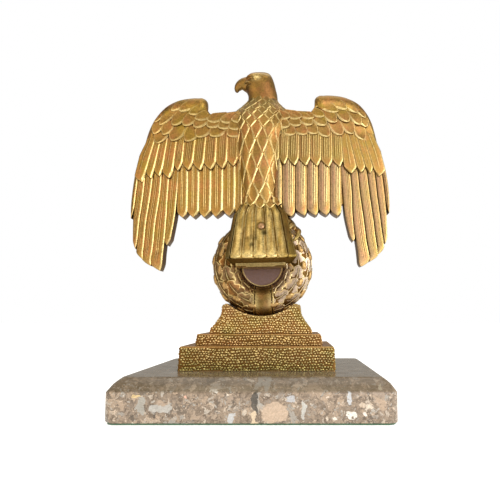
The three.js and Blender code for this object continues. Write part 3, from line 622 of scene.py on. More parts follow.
# Rows of lozenge scales: height of the widest point, spacing, and where a middle scale stands
scaleRows = [
    [123.4, 6.6, 5.8], [120.6, 7.2, 9.4], [117.1, 7.8, 5.5], [114, 8.2, 2.9], [109.8, 9, 7.9],
    [105.4, 9.6, 3.6], [99.6, 9.6, -1.9], [90.8, 9.7, 2.6], [80.2, 9.6, -1.6], [69.6, 9.8, 3.7],
    [59.2, 10.2, -0.8], [50.8, 9.4, 4.2],
]
scaleLook = {
    "columns": (-1, -0.6, -0.2, 0.2, 0.6, 1), "inner": (0.4, 0.6), "outer": (0.4, 0.75), "slope": 0.6,
    "crown": 0.15, "hollow": 0.15, "rootLift": -0.6, "tipLift": 0.6, "liftPower": 1.1, "wall": 0.9,
    "edgeWearAndHighlight": (0.85, 1.0), "edgeDirtAndShade": (0.2, 0.0), "flare": 0.1, "tipFlare": 0.1, "thick": 2.4,
    "wearAndHighlight": 1.0, "tipWear": 0.5, "facetPower": 1,
    "endSteps": (0, 0.15, 0.3, 0.45, 0.6, 0.74, 0.86, 0.95, 1), "backSteps": (0, 0.3, 0.6, 0.85, 1),
    "backFrom": 1.7,
}


def addTrunk(casting):
    heights = np.linspace(133.5, 37, 40)
    turn = np.linspace(0, 2 * np.pi, 48, endpoint=False)
    addShell(casting, [onTrunk(z, turn, -0.35) for z in heights], 0.0, 0.2)
    for k, (z, spacing, middle) in enumerate(scaleRows):
        above = scaleRows[k - 1][0] if k > 0 else z + 3.0
        below = scaleRows[k + 1][0] if k + 1 < len(scaleRows) else 43.5
        small = min(1.0, 0.45 + 0.09 * k)
        look = dict(scaleLook, tipLift=small * scaleLook["tipLift"], rootLift=small * scaleLook["rootLift"],
                    wearAndHighlight=mix(0.35, 1.0, min(1, k / 5)))
        left = float(curveAt(trunkTable, z, 1))
        right = float(curveAt(trunkTable, z, 2))
        half = (right - left) / 2
        centre = (left + right) / 2
        step = spacing / half
        first = math.asin(max(-1, min(1, (middle - centre) / half)))
        reach = int(math.pi / step)
        length = above - below
        knee = (above - z) / length
        for c in range(-reach, reach + 1):
            angle = first + c * step
            if abs(angle) > math.pi:
                continue
            ends = look["endSteps" if abs(angle) < look["backFrom"] else "backSteps"]
            t = np.concatenate([np.linspace(0, knee, 3)[:-1], mix(knee, 1, np.array(ends))])
            stations = length * t
            halves = spacing / 2 * np.where(
                t < knee, 0.35 + 0.65 * t / knee, pointed((t - knee) / (1 - knee), 1.12, 0.92))

            def place(s, u, h, angle=angle, above=above, half=half):
                return onTrunk(np.full(np.shape(u), above - s) if np.ndim(u) else above - s,
                               angle + np.asarray(u) / half, np.asarray(h))

            addBlade(casting, stations, halves, place, look, 0.5 * smoothStep(6, 1, k))


# The head, its beak, brows and eyes, moulded into one skin and then chased
headTable = [
    [118, -9, 12, 7.6], [124, -8.9, 13.4, 8.2], [130.2, -8.8, 13.2, 8.3], [134.2, -10.2, 12.3, 8.6],
    [138.5, -9.8, 11.4, 8.5], [141.5, -9.6, 10.5, 7.9], [143.6, -9.3, 9.7, 7.0], [145.6, -8.7, 8.6, 5.2],
    [147.1, -7.6, 7.0, 3.2], [148, -5.6, 4.4, 1.5],
]
beakPath = [
    [-2, -139.6, 7.0, 6.6], [-7, -140.4, 5.3, 5.2], [-10, -140.6, 4.3, 4.4], [-12.9, -139.9, 4.0, 3.7],
    [-15.3, -138.3, 3.5, 3.0], [-16.8, -136.2, 2.6, 2.3], [-17.2, -134.4, 1.7, 1.5],
    [-16.9, -133.1, 0.8, 0.8],
]
headLook = {
    "voxel": 0.48, "rounds": 3, "eye": (-1.9, 6.7, 140.7, 1.9), "eyeCorner": (-4.5, 7.3, 140.6),
    "eyeMiddle": (-1.8, 7.4, 140.6),
    "chin": [[-2, 0, 134.6, 4.6], [-8, 0, 136.1, 3.6], [-11.6, 0, 137.0, 2.6], [-13.6, 0, 137.2, 1.4]],
    "brow": [[-9.0, 4.2, 142.4, 0.9], [-7.0, 6.0, 142.5, 1.2], [-2, 7.2, 142.5, 1.25], [3, 7.1, 142.0, 1.1],
             [6.6, 6.6, 141.2, 0.7]],
    "cere": [[-6.5, 5.6, 137.2, 1.2], [-8.5, 5.2, 138.2, 0.9], [-11, 4.4, 138.0, 0.6]],
}
# Lines that are cut into the head's side: depth, width and places
headCuts = {
    "mouth": (0.6, 0.75, [(-4.6, 6.7, 134.8), (-5.4, 6.5, 135.7), (-7.2, 5.9, 136.7), (-9.6, 5.0, 137.0),
                          (-11.8, 4.4, 136.4), (-13.7, 3.6, 134.6)]),
    "socket": (0.5, 0.8, [(-4.9, 7.4, 139.7), (-3.6, 7.8, 138.6), (-1.7, 8.1, 138.0), (0.4, 8.1, 138.6),
                          (1.9, 8.0, 139.9)]),
    "underBrow": (0.5, 0.8, [(-7.8, 6.0, 141.0), (-5.2, 7.2, 141.2)]),
    "nostril": (0.4, 0.5, [(-8.6, 4.6, 140.9), (-9.8, 4.4, 141.2)]),
}


def addSkull(clay):
    turn = np.linspace(0, 2 * np.pi, 40, endpoint=False)
    rings = []
    for z in np.concatenate([np.linspace(123, 146, 27), [146.6, 147.1, 147.5, 147.8, 148.0]]):
        left, right, deep = (float(curveAt(headTable, z, c)) for c in (1, 2, 3))
        x = (left + right) / 2 + (right - left) / 2 * np.sign(np.cos(turn)) * np.abs(np.cos(turn)) ** 0.9
        y = deep * np.sign(np.sin(turn)) * np.abs(np.sin(turn)) ** 0.9
        rings.append(np.column_stack([x, y, np.full(40, z)]))
    addShell(clay, rings)


def addBeak(clay):
    turn = np.linspace(0, 2 * np.pi, 40, endpoint=False)
    table = np.column_stack([np.arange(len(beakPath)), np.array(beakPath)])
    rings = []
    for s in np.linspace(0, len(beakPath) - 1, 30):
        x, z, half, deep = (float(curveAt(table, s, c)) for c in (1, 2, 3, 4))
        forward = np.array([float(curveAt(table, s + 0.05, c)) - float(curveAt(table, s - 0.05, c))
                            for c in (1, 2)])
        forward /= np.linalg.norm(forward)
        across = half * np.cos(turn)
        rings.append(np.column_stack([
            x + across * -forward[1], deep * np.sin(turn) * (1 - 0.18 * np.cos(turn)),
            -z + across * -forward[0]]))
    addShell(clay, rings)


# Each eye is a flat oval bead
def addEyes(casting):
    x, y, z, r = headLook["eye"]
    turn = np.linspace(0, 2 * np.pi, 18, endpoint=False)
    for side in (-1, 1):
        rings = []
        for lift in np.linspace(-0.98, 0.98, 11):
            across = r * math.sqrt(1 - lift * lift)
            rings.append(np.column_stack([
                x + 1.35 * across * np.cos(turn), np.full(18, side * y + r * lift),
                z + 0.75 * across * np.sin(turn)]))
        addShell(casting, rings, 0.85)


def addHead(casting):
    look = headLook
    clay = newCasting()
    addSkull(clay)
    addBeak(clay)
    addShell(clay, tubeRings(look["chin"], 14, 16))
    for side in (-1, 1):
        mirrored = np.array([1.0, side, 1.0, 1.0])
        addShell(clay, tubeRings(look["brow"] * mirrored, 16, 10))
        addShell(clay, tubeRings(look["cere"] * mirrored, 8, 8))
    points, normals, faces = moulded(clay, look["voxel"], look["rounds"])
    flank = np.column_stack([points[:, 0], np.abs(points[:, 1]), points[:, 2]])
    onSide = smoothStep(2.0, 4.0, flank[:, 1])
    cut = 0.0
    for depth, width, path in headCuts.values():
        cut = cut + depth * np.exp(-(lineDistance(flank, path) / width) ** 2)
    cut = cut + 0.5 * np.exp(-(np.linalg.norm(flank - np.array(look["eyeCorner"]), axis=1) / 0.8) ** 2)
    lip = (lineDistance(flank, headCuts["mouth"][2]) - 1.4) / 0.5
    rise = 0.2 * np.exp(-lip ** 2) * smoothStep(-5.5, -7.5, flank[:, 0])
    points = points + normals * ((rise - cut) * onSide)[:, None]
    nearEye = np.linalg.norm((flank - np.array(look["eyeMiddle"])) * np.array([0.75, 1, 1]), axis=1)
    wearAndHighlight = 0.85 * np.exp(-(nearEye / 2.3) ** 2) + 0.3 * smoothStep(0.12, 0.2, rise) * onSide
    wearAndHighlight = wearAndHighlight + 0.35 * np.exp(-((points[:, 2] - 143.4) / 1.0) ** 2) * smoothStep(-8, -4, points[:, 0])
    dirtAndShade = np.clip(cut * onSide * 0.75, 0, 0.6) * smoothStep(1.2, 2.2, nearEye)
    # Painted shade: the throat and chin under the beak are darkened as if in shadow
    shade = smoothStep(136.5, 133.5, points[:, 2]) * smoothStep(-6.5, -9, points[:, 0])
    addMesh(casting, points, faces, np.clip(wearAndHighlight, 0, 1), np.maximum(dirtAndShade, 0.27 + 0.35 * shade))
    addEyes(casting)


# Smooth random values from 0 to 1 over a grid of places, drawn out along the second
def streaks(count, width, length):
    grid = np.array([[random.random() for _ in range(40)] for _ in range(count)])

    def at(x, z):
        i = np.clip(np.asarray(x, float) / width + count / 2, 0, count - 1.001)
        j = np.clip(np.asarray(z, float) / length + 20, 0, 38.999)
        a = i.astype(int)
        b = j.astype(int)
        u = smoothStep(0, 1, i - a)
        v = smoothStep(0, 1, j - b)
        return mix(mix(grid[a, b], grid[a + 1, b], u), mix(grid[a, b + 1], grid[a + 1, b + 1], u), v)

    return at


# The tail: a fluted wedge with a rubbed, scalloped rim and a flat end
tailLook = {
    "top": 44.0, "bottom": 3.4, "topHalf": 18.0, "bottomHalf": 24.6, "topFront": 12.8, "bottomFront": 27.8,
    "thick": 10.5, "topShift": -0.5, "shift": 0.7, "crown": 1.1, "scallop": 1.2, "sideBevel": 4.0,
    "tone": 0.5, "narrowTop": 3.6, "edgeFall": 3.2, "rows": 56, "rim": (0.968, 0.98, 0.99, 1.0, 1.0),
    "rimBevel": (0.08, 0.25, 0.55, 0.9, 1.3), "edges": (-1, -0.86, -0.535, -0.21, 0.165, 0.475, 0.775, 1),
    "spots": [[3.0, 21.2, 2.3, 1.0], [-2.9, 17.2, 1.5, 0.7], [-5.6, 12.6, 1.7, 0.9], [20.6, 21.5, 1.6, 0.6],
              [21.6, 15.5, 1.6, 0.7], [20.2, 27.5, 1.7, 0.5], [-13, 30, 2.6, 0.25], [12, 31, 2.2, 0.3]],
    "rivet": (0.9, 26.2), "ring": (2.75, 0.7),
}


# Places across the tail, how far each feather is arched there, and the lines beside its edges
def tailFlutes():
    rows = []
    edges = tailLook["edges"]
    for k, (start, end) in enumerate(zip(edges[:-1], edges[1:])):
        for q in (0.0, 0.05, 0.1, 0.16, 0.25, 0.38, 0.5, 0.62, 0.75, 0.84, 0.9, 0.95):
            arch = (1 - (2 * q - 1) ** 2) ** 0.6 if 0 < k < 6 else (q if k == 0 else 1 - q) ** 0.8
            line = 0.45 if q in (0.1, 0.9) else (-0.4 if q in (0.16, 0.84, 0.05, 0.95) else 0.0)
            rows.append((mix(start, end, q), arch, line))
    return np.array(rows + [(1.0, 0.0, 0.0)]).T


def addTail(casting):
    look = tailLook
    across, crowns, grooves = tailFlutes()
    strength = 0.6 + 0.4 * np.array([random.random() for _ in across])
    bright = streaks(60, 1.3, 7.0)
    dark = streaks(60, 0.9, 8.0)
    blots = streaks(30, 3.2, 3.4)
    inMiddle = smoothStep(0.98, 0.55, np.abs(across + 0.05))
    towardsMiddle = smoothStep(0.95, 0.4, np.abs(across + 0.12))
    edge = smoothStep(1.0, 0.8, np.abs(across))
    backAt = np.array([1.0, 0.5, 0.0, -0.5, -1.0])
    rings = []
    layers = []
    rows = np.concatenate([np.linspace(0, 0.955, look["rows"]), look["rim"]])
    bevels = np.concatenate([np.zeros(look["rows"]), look["rimBevel"]])
    for t, bevel in zip(rows, bevels):
        z = mix(look["top"], look["bottom"], t) - look["scallop"] * (crowns - 0.5) * smoothStep(0.8, 1.0, t)
        half = mix(look["topHalf"], look["bottomHalf"], t)
        half = half - look["narrowTop"] * float(smoothStep(0.24, 0.0, t))
        front = mix(look["topFront"], look["bottomFront"], t)
        fade = float(smoothStep(1.0, 0.93, t))
        middle = mix(look["topShift"], look["shift"], t)
        x = middle + half * across
        y = -(front - look["edgeFall"] * (1 - edge) + look["crown"] * (crowns - 0.6)
              + 0.5 * grooves * strength * fade - bevel)
        back = np.column_stack([
            middle + (half - look["sideBevel"] * t) * backAt, np.full(5, 0.94 * look["thick"] - front),
            np.full(5, float(z.mean()) - 0.345 * look["thick"])])
        rings.append(np.vstack([np.column_stack([x, y, z]), back]))
        polish = float(smoothStep(0.82, 0.94, t)) * (0.5 + 0.5 * crowns) * towardsMiddle
        # Rubbed streaks over the tail's middle, part real wear and part painted highlight for light from
        # below the front
        rubbedAndHighlight = (0.2 + 0.6 * smoothStep(0.35, 0.65, bright(x, z))) * mix(0.6, 0.95, smoothStep(0.0, 0.5, t))
        stain = smoothStep(0.6, 0.85, dark(x, z)) * mix(0.7, 0.3, t)
        stain = stain + 0.4 * smoothStep(0.65, 0.9, blots(x, z))
        if bevel > 0.5:
            polish = polish * 0.5
        wearAndHighlight = np.maximum(polish, grooves.clip(0, 1) * 1.6 * fade + rubbedAndHighlight * inMiddle).clip(0, 1)
        fromRivet = np.hypot(x - look["rivet"][0], z - look["rivet"][1])
        ring = np.exp(-((fromRivet - look["ring"][0]) / look["ring"][1]) ** 2)
        dirtAndShade = np.maximum(np.where(grooves < 0, 0.85, 0) * fade, stain * (1 - polish))
        patina = 0.6 * smoothStep(0.6, 1.0, np.abs(across)) * (0.4 + 0.6 * blots(x, z))
        for spotX, spotZ, size, depth in look["spots"]:
            apart = ((x - spotX) ** 2 + (z - spotZ) ** 2) / size ** 2
            patina = np.maximum(patina, depth * np.exp(-apart ** 1.5))
        wearAndHighlight = wearAndHighlight * (1 - 0.9 * np.maximum(np.maximum(patina, ring), 0.8 * stain * (1 - polish)))
        layers.append([np.append(wearAndHighlight, np.zeros(5)), np.append(np.maximum(dirtAndShade, ring), np.full(5, 0.55)),
                       np.append(patina, np.full(5, 0.5))])
    wearAndHighlightRows, dirtAndShadeRows, patinas = np.array(layers).transpose(1, 0, 2)
    addShell(casting, rings, wearAndHighlightRows, dirtAndShadeRows, patinas, look["tone"])
    addCollar(casting)


# Pointed feathers that end the breast over the root of the tail
collarLook = dict(scaleLook, rootLift=-0.4, tipLift=1.3, thick=3.0, wall=1.4, length=7.6,
                  edgeDirtAndShade=(0.0, 0.0), half=3.75,
                  tips=[(-13.4, 42.8), (-7.0, 41.9), (-0.1, 39.6), (7.0, 39.4), (12.6, 41.6)])


def addCollar(casting):
    look = collarLook
    knee = 0.5 * look["length"]
    for x0, tip in look["tips"]:
        stations = look["length"] * np.array([0, 0.15, 0.3, 0.5, 0.6, 0.7, 0.8, 0.9, 1.0])
        halves = look["half"] * np.where(stations < knee, 1.0, pointed((stations - knee) / knee, 1.1, 0.95))

        def place(s, u, h):
            z = tip + look["length"] - s
            x = x0 + np.asarray(u)
            body = float(curveAt(trunkTable, z, 3))
            half = float(curveAt(trunkTable, z, 2)) + 3.0
            onBody = -body * np.maximum(1 - np.abs(x / half) ** trunkPower, 0) ** (1 / trunkPower)
            onTail = tailLook["topFront"] + 0.37 * (tailLook["top"] - z)
            onTail = onTail - tailLook["edgeFall"] * smoothStep(14.0, 19.0, np.abs(x))
            front = np.maximum(onBody, onTail if z < tailLook["top"] else 0.0)
            return np.stack(np.broadcast_arrays(x, -(front + np.asarray(h)), z), -1)

        addBlade(casting, stations, halves, place, look)


# Legs and feet; the toes close over the wreath
legLook = {"ringMiddle": 26.9, "ringTube": 9.1, "voxel": 0.75, "feet": {1: 53, -1: 104},
           "toes": [(0, 22, -104, 2.5), (16, 16, -92, 2.2), (-16, 16, -92, 2.2), (0, -4, 124, 2.4)]}
# The stay is a bar from the tail to the wreath, under the tail's end
stayLook = {"outline": [(-17.5, -1.8), (-6, -2.5), (6, -2.5), (17.5, -1.8), (17.5, 2), (-17.5, 2)],
            "front": -19.5, "back": -3.5}


def addLegs(casting):
    clay = newCasting()
    for side, footAt in legLook["feet"].items():
        foot = math.radians(footAt)
        reach = legLook["ringMiddle"] + 8.2
        ankle = (reach * math.cos(foot), -0.5, reach * math.sin(foot))
        leg = [[side * 6, 1.0, 60, 6.4], [side * 7, 1.0, 52, 6.0],
               [mix(side * 8, ankle[0], 0.25), 0.5, 45, 5.6], [mix(side * 8, ankle[0], 0.45), 0.0, 37.0, 4.3],
               [ankle[0], -0.5, ankle[2] + 1.0, 4.4],
               [ankle[0] * 0.94, -0.5, ankle[2] - 3, 3.6]]
        addShell(clay, tubeRings(leg, 22, 20))
        for spread, start, end, thick in legLook["toes"]:
            path = []
            for t in np.linspace(0, 1, 9):
                turn = math.radians(mix(start, end, t))
                along = foot + math.radians(spread) * min(1, 0.25 + 1.1 * t)
                radius = thick * (1 - 0.72 * t ** 2.2) * (1 + 0.1 * math.cos(2 * math.pi * 2.5 * t))
                off = legLook["ringTube"] + 0.55 * radius + 0.3
                ring = legLook["ringMiddle"] + off * math.cos(turn)
                path.append([ring * math.cos(along), off * math.sin(turn), ring * math.sin(along), radius])
            addShell(clay, tubeRings(path, 26, 12))
    ends = (stayLook["front"], stayLook["back"])
    addShell(clay, [[[x, y, z] for x, z in stayLook["outline"]] for y in ends])
    points, _, faces = moulded(clay, legLook["voxel"], 3)
    onStay = smoothStep(3.5, 2.5, points[:, 2]) * smoothStep(-17.0, -19.0, points[:, 1])
    residue = onStay * smoothStep(-0.6, 0.2, points[:, 2])
    addMesh(casting, points, faces, 0.3 + 0.35 * residue, 0.25 + 0.3 * onStay, 0.1 + 0.15 * onStay,
            0.3 * onStay)


random.seed(7)
eagleBronze = newCasting()
addTrunk(eagleBronze)
addWing(eagleBronze, 1)
addWing(eagleBronze, -1)
addHead(eagleBronze)
addTail(eagleBronze)
addLegs(eagleBronze)
settle(eagleBronze, birdLean)
print("eagle shells", eagleBronze["count"], "points")


# The wreath: a torus of lobed oak leaves with acorns, tied by a ribbon, around a bare disc
wreathLook = {
    "middle": 26.9, "tube": 9.5, "bed": 9.2, "inward": 0.2, "leafLength": 17.0, "leafHalf": 5.3,
    "ribbonAt": -87.3, "ribbonHalf": 7.7, "discRadius": 16.2, "discHalf": 3.4, "firstSpray": 24,
    "leafRows": [(-92, 0.0), (-46, 11.5), (0, 0.0), (46, 11.5), (95, 0.0), (145, 11.5), (-142, 8.0)],
    "acorns": [(-70, 15), (-20, 4)], "sheenBySide": {1: 1.0, -1: 0.15},
}


# Its section is drawn out a little towards the disc
def onTorus(angle, tubeAngle, radius):
    inward = np.minimum(np.cos(tubeAngle), 0)
    ring = wreathLook["middle"] + radius * (np.cos(tubeAngle) - wreathLook["inward"] * inward ** 2)
    return np.stack(np.broadcast_arrays(
        ring * np.cos(angle), radius * np.sin(tubeAngle), ring * np.sin(angle)), -1)


leafLook = {
    "columns": (-1, -0.7, -0.4, 0.4, 0.7, 1), "lines": (0.0,), "lineHalf": 0.09, "lineRise": 0.35,
    "lineEnd": 0.92, "inner": (0.45, 0.35), "outer": (0.45, 0.35), "slope": 0.9, "crown": 0.1,
    "hollow": 0.1, "rootLift": -0.45, "tipLift": 0.6, "wall": 0.75, "flare": 0.0, "thick": 1.8,
    "wearAndHighlight": 0.9, "tipWear": 0.4, "facetPower": 1, "edgeWearAndHighlight": (1.0, 1.0), "edgeDirtAndShade": (0.0, 0.0),
    "lineDirt": (0.7, 0.7), "lineWear": 0.8,
}


def addLeaf(casting, angle, tubeAngle, way, length, half, tone):
    stations = length * np.concatenate([np.linspace(0, 0.9, 19), [0.94, 0.97, 1.0]])
    t = stations / length
    lobes = 1 + 0.2 * np.cos(2 * np.pi * (3.4 * t + 0.15))
    halves = np.maximum(half * np.sin(np.pi * (0.1 + 0.86 * t ** 0.85)) ** 0.7 * lobes, 0.35)
    halves[-1] = 0.3

    def place(s, u, h):
        tube = tubeAngle + np.asarray(u) / 9.4
        ring = wreathLook["middle"] + 9.4 * np.cos(tube)
        along = angle + way * (s - length / 2) / ring
        return onTorus(along, tube, wreathLook["bed"] + np.asarray(h))

    addBlade(casting, stations, halves, place, leafLook, 0.0, tone)


def addAcorn(casting, angle, tubeAngle, way, tone):
    turn = np.linspace(0, 2 * np.pi, 14, endpoint=False)
    rings = []
    for t in np.linspace(0.04, 0.985, 10):
        across = 2.15 * math.sqrt(max(1 - (2 * t - 1) ** 2, 0.01)) * (1.12 if t < 0.42 else 0.96)
        along = angle + way * (t - 0.5) * 6.2 / wreathLook["middle"]
        tube = tubeAngle + across * np.cos(turn) / 9.0
        rings.append(onTorus(np.full(14, along), tube, 9.2 + 0.55 * across * np.sin(turn)))
    addShell(casting, rings, 0.4, 0.0, 0.0, tone)


def addWreath(casting):
    turn = np.linspace(0, 2 * np.pi, 32, endpoint=False)
    around = np.linspace(0, 2 * np.pi, 96, endpoint=False)
    addShell(casting, [onTorus(a, turn, wreathLook["bed"]) for a in around], 0.0, 0.45, joined=True)
    tie = math.radians(wreathLook["ribbonAt"])
    spray = math.radians(wreathLook["firstSpray"])
    for way in (1, -1):
        sheenBySide = wreathLook["sheenBySide"][way]
        for k in range(-1, 7):
            middle = tie + way * spray * (1 + k)
            for tube, late in wreathLook["leafRows"]:
                late = late + random.uniform(-2.0, 2.0)
                length = wreathLook["leafLength"] * random.uniform(0.92, 1.08)
                turned = math.radians(tube + random.uniform(-5, 5))
                half = wreathLook["leafHalf"] * random.uniform(0.9, 1.05)
                # Painted sheen: leaves on the right side get the pale colour strongly, those on the left a
                # little
                tone = sheenBySide * random.uniform(0.55, 1.0) - 0.35 * (random.random() < 0.1)
                addLeaf(casting, middle + way * math.radians(late), turned, way, length, half, tone)
            for tube, late in wreathLook["acorns"]:
                addAcorn(casting, middle + way * math.radians(late), math.radians(tube), way, -0.35)
    addRibbon(casting, tie)
    addDisc(casting)


def addRibbon(casting, tie):
    profile = [(-1, -1.2), (-1, 0.4), (-0.97, 0.6), (-0.86, 0.6), (-0.83, 0.2), (-0.78, 0.2), (-0.75, 0.5),
               (-0.3, 0.6), (0, 0.65), (0.3, 0.6), (0.75, 0.5), (0.78, 0.2), (0.83, 0.2), (0.86, 0.6),
               (0.97, 0.6), (1, 0.4), (1, -1.2), (0, -1.4)]
    wornAndHighlight = [0, 0.9, 0.9, 0.5, 0, 0, 0.7, 0.15, 0.1, 0.15, 0.7, 0, 0, 0.5, 0.9, 0.9, 0, 0]
    soiledAndShaded = [0.5, 0, 0, 0, 0.95, 0.95, 0, 0, 0, 0, 0, 0.95, 0.95, 0, 0, 0, 0.5, 0]
    rings = []
    for tube in np.linspace(0, 2 * np.pi, 60, endpoint=False):
        ring = wreathLook["middle"] + 9.6 * math.cos(tube)
        rings.append([onTorus(tie + u * wreathLook["ribbonHalf"] / ring, tube, wreathLook["tube"] + h)
                      for u, h in profile])
    addShell(casting, rings, np.array(wornAndHighlight)[None, :], np.array(soiledAndShaded)[None, :], joined=True)


# Its faces are plain: nothing stands on them
def addDisc(casting):
    turn = np.linspace(0, 2 * np.pi, 72, endpoint=False)
    radius = wreathLook["discRadius"]
    half = wreathLook["discHalf"]
    profile = [(0.02, 0.0), (0.5, 0.0), (0.8, 0.0), (0.86, 0.05), (0.885, 0.3), (0.91, 0.3), (0.93, 0.0),
               (1.0, -0.9)]
    rows = [(r, -(half + h)) for r, h in profile] + [(r, half + h) for r, h in reversed(profile)]
    rings = [np.column_stack([radius * r * np.cos(turn), np.full(72, y), radius * r * np.sin(turn)])
             for r, y in rows]
    wornAndHighlight = [0, 0, 0, 0, 0.75, 0.75, 0, 0]
    patina = [1, 1, 1, 1, 0.3, 0.3, 0.9, 0.9]
    wornAndHighlight, patina = (np.array(layer + layer[::-1])[:, None] for layer in (wornAndHighlight, patina))
    addShell(casting, rings, wornAndHighlight, 0.0, patina)


wreathBronze = newCasting()
addWreath(wreathBronze)
settle(wreathBronze)
print("wreath shells", wreathBronze["count"], "points")


# The pedestal: two steps and a flared neck, pebbled on every upright face
pedestalLook = {
    "base": 26.5, "offset": 1.2, "saddleMiddle": 99.3, "saddleRadius": 36.8,
    "pitch": 1.86, "rowPitch": 1.62, "pebble": 0.95, "rise": 0.66, "jitter": 0.2, "neckBase": 50.3,
}
stepTable = [
    {"half": (51.5, 31.5), "height": 16.0, "taper": 0.75, "from": 0.0, "offset": 0.0},
    {"half": (42.75, 22.75), "height": 7.8, "taper": 0.7, "from": 16.0, "offset": 0.6},
]
neckTable = [
    [0, 35.3, 15.7], [2.7, 35, 15.5], [7.2, 31.7, 13.9], [10.2, 29.8, 13], [13.7, 28, 12.1],
    [17.4, 27.5, 11.8], [19.6, 26.9, 11.6], [20.9, 25.3, 11.1],
]


# An oblong outline at one height, with an arc of so many points at each corner
def roundedRing(halfX, halfY, radius, z, points, middle=0.0):
    ring = []
    for cx, cy, start in ((1, 1, 0), (-1, 1, 90), (-1, -1, 180), (1, -1, 270)):
        for k in range(points):
            turn = math.radians(start + 90 * k / (points - 1))
            ring.append((middle + cx * (halfX - radius) + radius * math.cos(turn),
                         cy * (halfY - radius) + radius * math.sin(turn), z))
    return ring


def addStep(casting, step):
    halfX, halfY = step["half"]
    height = step["height"]
    taper = step["taper"]
    base = pedestalLook["base"] + step["from"]
    rows = [(0, 0.0, 0.0, 1.0), (0.25, 0.0, 0.3, 0.8), (0.6, 0.03, 0.0, 1.0),
            (height - 0.9, 0.9 * taper, 0.0, 1.0), (height - 0.5, taper, 0.15, 0.2),
            (height - 0.12, taper + 0.15, 0.35, 0.0), (height, taper + 0.5, 0.2, 0.0),
            (height, taper + 2.0, 0.0, 0.3)]
    rings = [roundedRing(halfX - inset, halfY - inset, 0.7, base + up, 5, step["offset"])
             for up, inset, _, _ in rows]
    wearAndHighlight, dirtAndShade = (np.array(rows)[:, [c]] for c in (2, 3))
    addShell(casting, rings, wearAndHighlight, 0.8 * dirtAndShade, 0.6 * dirtAndShade, -0.35)


def neckHalf(up, column):
    return curveAt(neckTable, up, column)


def neckTop(x):
    off = np.abs(np.asarray(x, float))
    saddle = pedestalLook["saddleMiddle"] - np.sqrt(pedestalLook["saddleRadius"] ** 2 - off ** 2)
    heights = np.linspace(0, 20.9, 120)
    halves = neckHalf(heights, 1)
    edge = pedestalLook["neckBase"] + np.array([heights[halves >= o].max() if (halves >= o).any() else 0.0
                                                for o in np.atleast_1d(off)])
    return np.minimum(saddle, edge.reshape(np.shape(off)))


def addNeck(casting):
    rings = []
    wearAndHighlightRows = []
    flank = np.linspace(24.8, 35.25, 26)
    spread = np.concatenate([-flank[::-1], np.linspace(-24, 24, 33), flank])
    for x in spread:
        top = float(neckTop(x))
        up = np.linspace(-0.4, max(top - pedestalLook["neckBase"], 0.05), 16)
        deep = neckHalf(up, 2)
        z = pedestalLook["neckBase"] + up
        front = np.column_stack([np.full(16, x), -deep, z])
        cap = np.column_stack([np.full(3, x), deep[-1] * np.array([-0.9, 0, 0.9]), np.full(3, top)])
        back = np.column_stack([np.full(16, x), deep[::-1], z[::-1]])
        rings.append(np.vstack([front, cap, back]) + np.array([pedestalLook["offset"], 0, 0]))
        wornAndHighlight = np.zeros(35)
        wornAndHighlight[14:17] = 0.3
        wornAndHighlight[18:21] = 0.3
        wearAndHighlightRows.append(wornAndHighlight)
    addShell(casting, rings, np.array(wearAndHighlightRows), 0.65, 0.0, -0.25)


# One pebble: a low dome with its foot sunk in the face
def addPebble(casting, middle, right, up, out, radius, rise, low):
    sides = 7
    turn = np.linspace(0, 2 * np.pi, sides, endpoint=False) + random.random()
    long = random.uniform(0.9, 1.15)
    flat = np.cos(turn)[:, None] * right * long + np.sin(turn)[:, None] * up / long
    points = np.vstack([
        middle + flat * radius * 1.12 - out * 0.35, middle + flat * radius * 0.98 + out * 0.2 * rise,
        middle + flat * radius * 0.62 + out * 0.8 * rise, [middle + out * rise], [middle - out * 0.4]])
    start = np.arange(sides)
    after = (start + 1) % sides
    faces = []
    for level in (0, sides):
        lower = np.stack([start + level, after + level], -1)
        faces += np.hstack([lower, lower[:, ::-1] + sides]).tolist()
    faces += np.stack([start + 2 * sides, after + 2 * sides, np.full(sides, 3 * sides)], -1).tolist()
    faces += np.stack([after, start, np.full(sides, 3 * sides + 1)], -1).tolist()
    # A bright apex on each pebble, part rubbing and part painted highlight; a darker foot, part dirt and part
    # painted shade between pebbles
    rubAndHighlight = random.uniform(0.7, 1.0)
    wearAndHighlight = np.concatenate([np.zeros(sides), np.full(sides, 0.15), np.full(sides, 0.7 * rubAndHighlight), [rubAndHighlight, 0]])
    dirtAndShade = np.concatenate([np.ones(sides), np.full(sides, 0.5), np.zeros(sides + 2)])
    wearAndHighlight = wearAndHighlight * mix(1.0, 0.68, min(low * 1.4, 1))
    addMesh(casting, points, faces, wearAndHighlight, dirtAndShade, 0.25 * min(low * 2, 1), 0.8 * low)


# Pebbles over a face that is given by a function of a place along it and a height
def addPebbles(casting, length, height, surface, fits=None):
    pitch = pedestalLook["pitch"]
    rowPitch = pedestalLook["rowPitch"]
    rows = max(1, int(round((height - 0.5) / rowPitch)))
    for row in range(rows):
        v0 = (row + 0.5) * height / rows
        count = int((length - 0.6) / pitch)
        for column in range(count):
            u = (column + 0.5 + (0.5 if row % 2 else 0.0) - count / 2) * pitch
            u = u + random.gauss(0, pedestalLook["jitter"])
            v = v0 + 0.5 * math.sin(u / 6.3 + 0.3 * row) + random.gauss(0, pedestalLook["jitter"])
            size = pedestalLook["pebble"] * random.uniform(0.86, 1.06)
            if abs(u) > length / 2 - 0.85 * size:
                continue
            v = min(max(v, 0.7 * size), height - 0.7 * size)
            if fits and not fits(u, v, size):
                continue
            middle, right, up, out = surface(u, v)
            low = 0.35 * smoothStep(43.5, 42, middle[2]) + 0.65 * smoothStep(36, 27, middle[2])
            rise = pedestalLook["rise"] * random.uniform(0.8, 1.15)
            addPebble(casting, middle, right, up, out, size, rise, low)


def unit(vector):
    return vector / np.linalg.norm(vector)


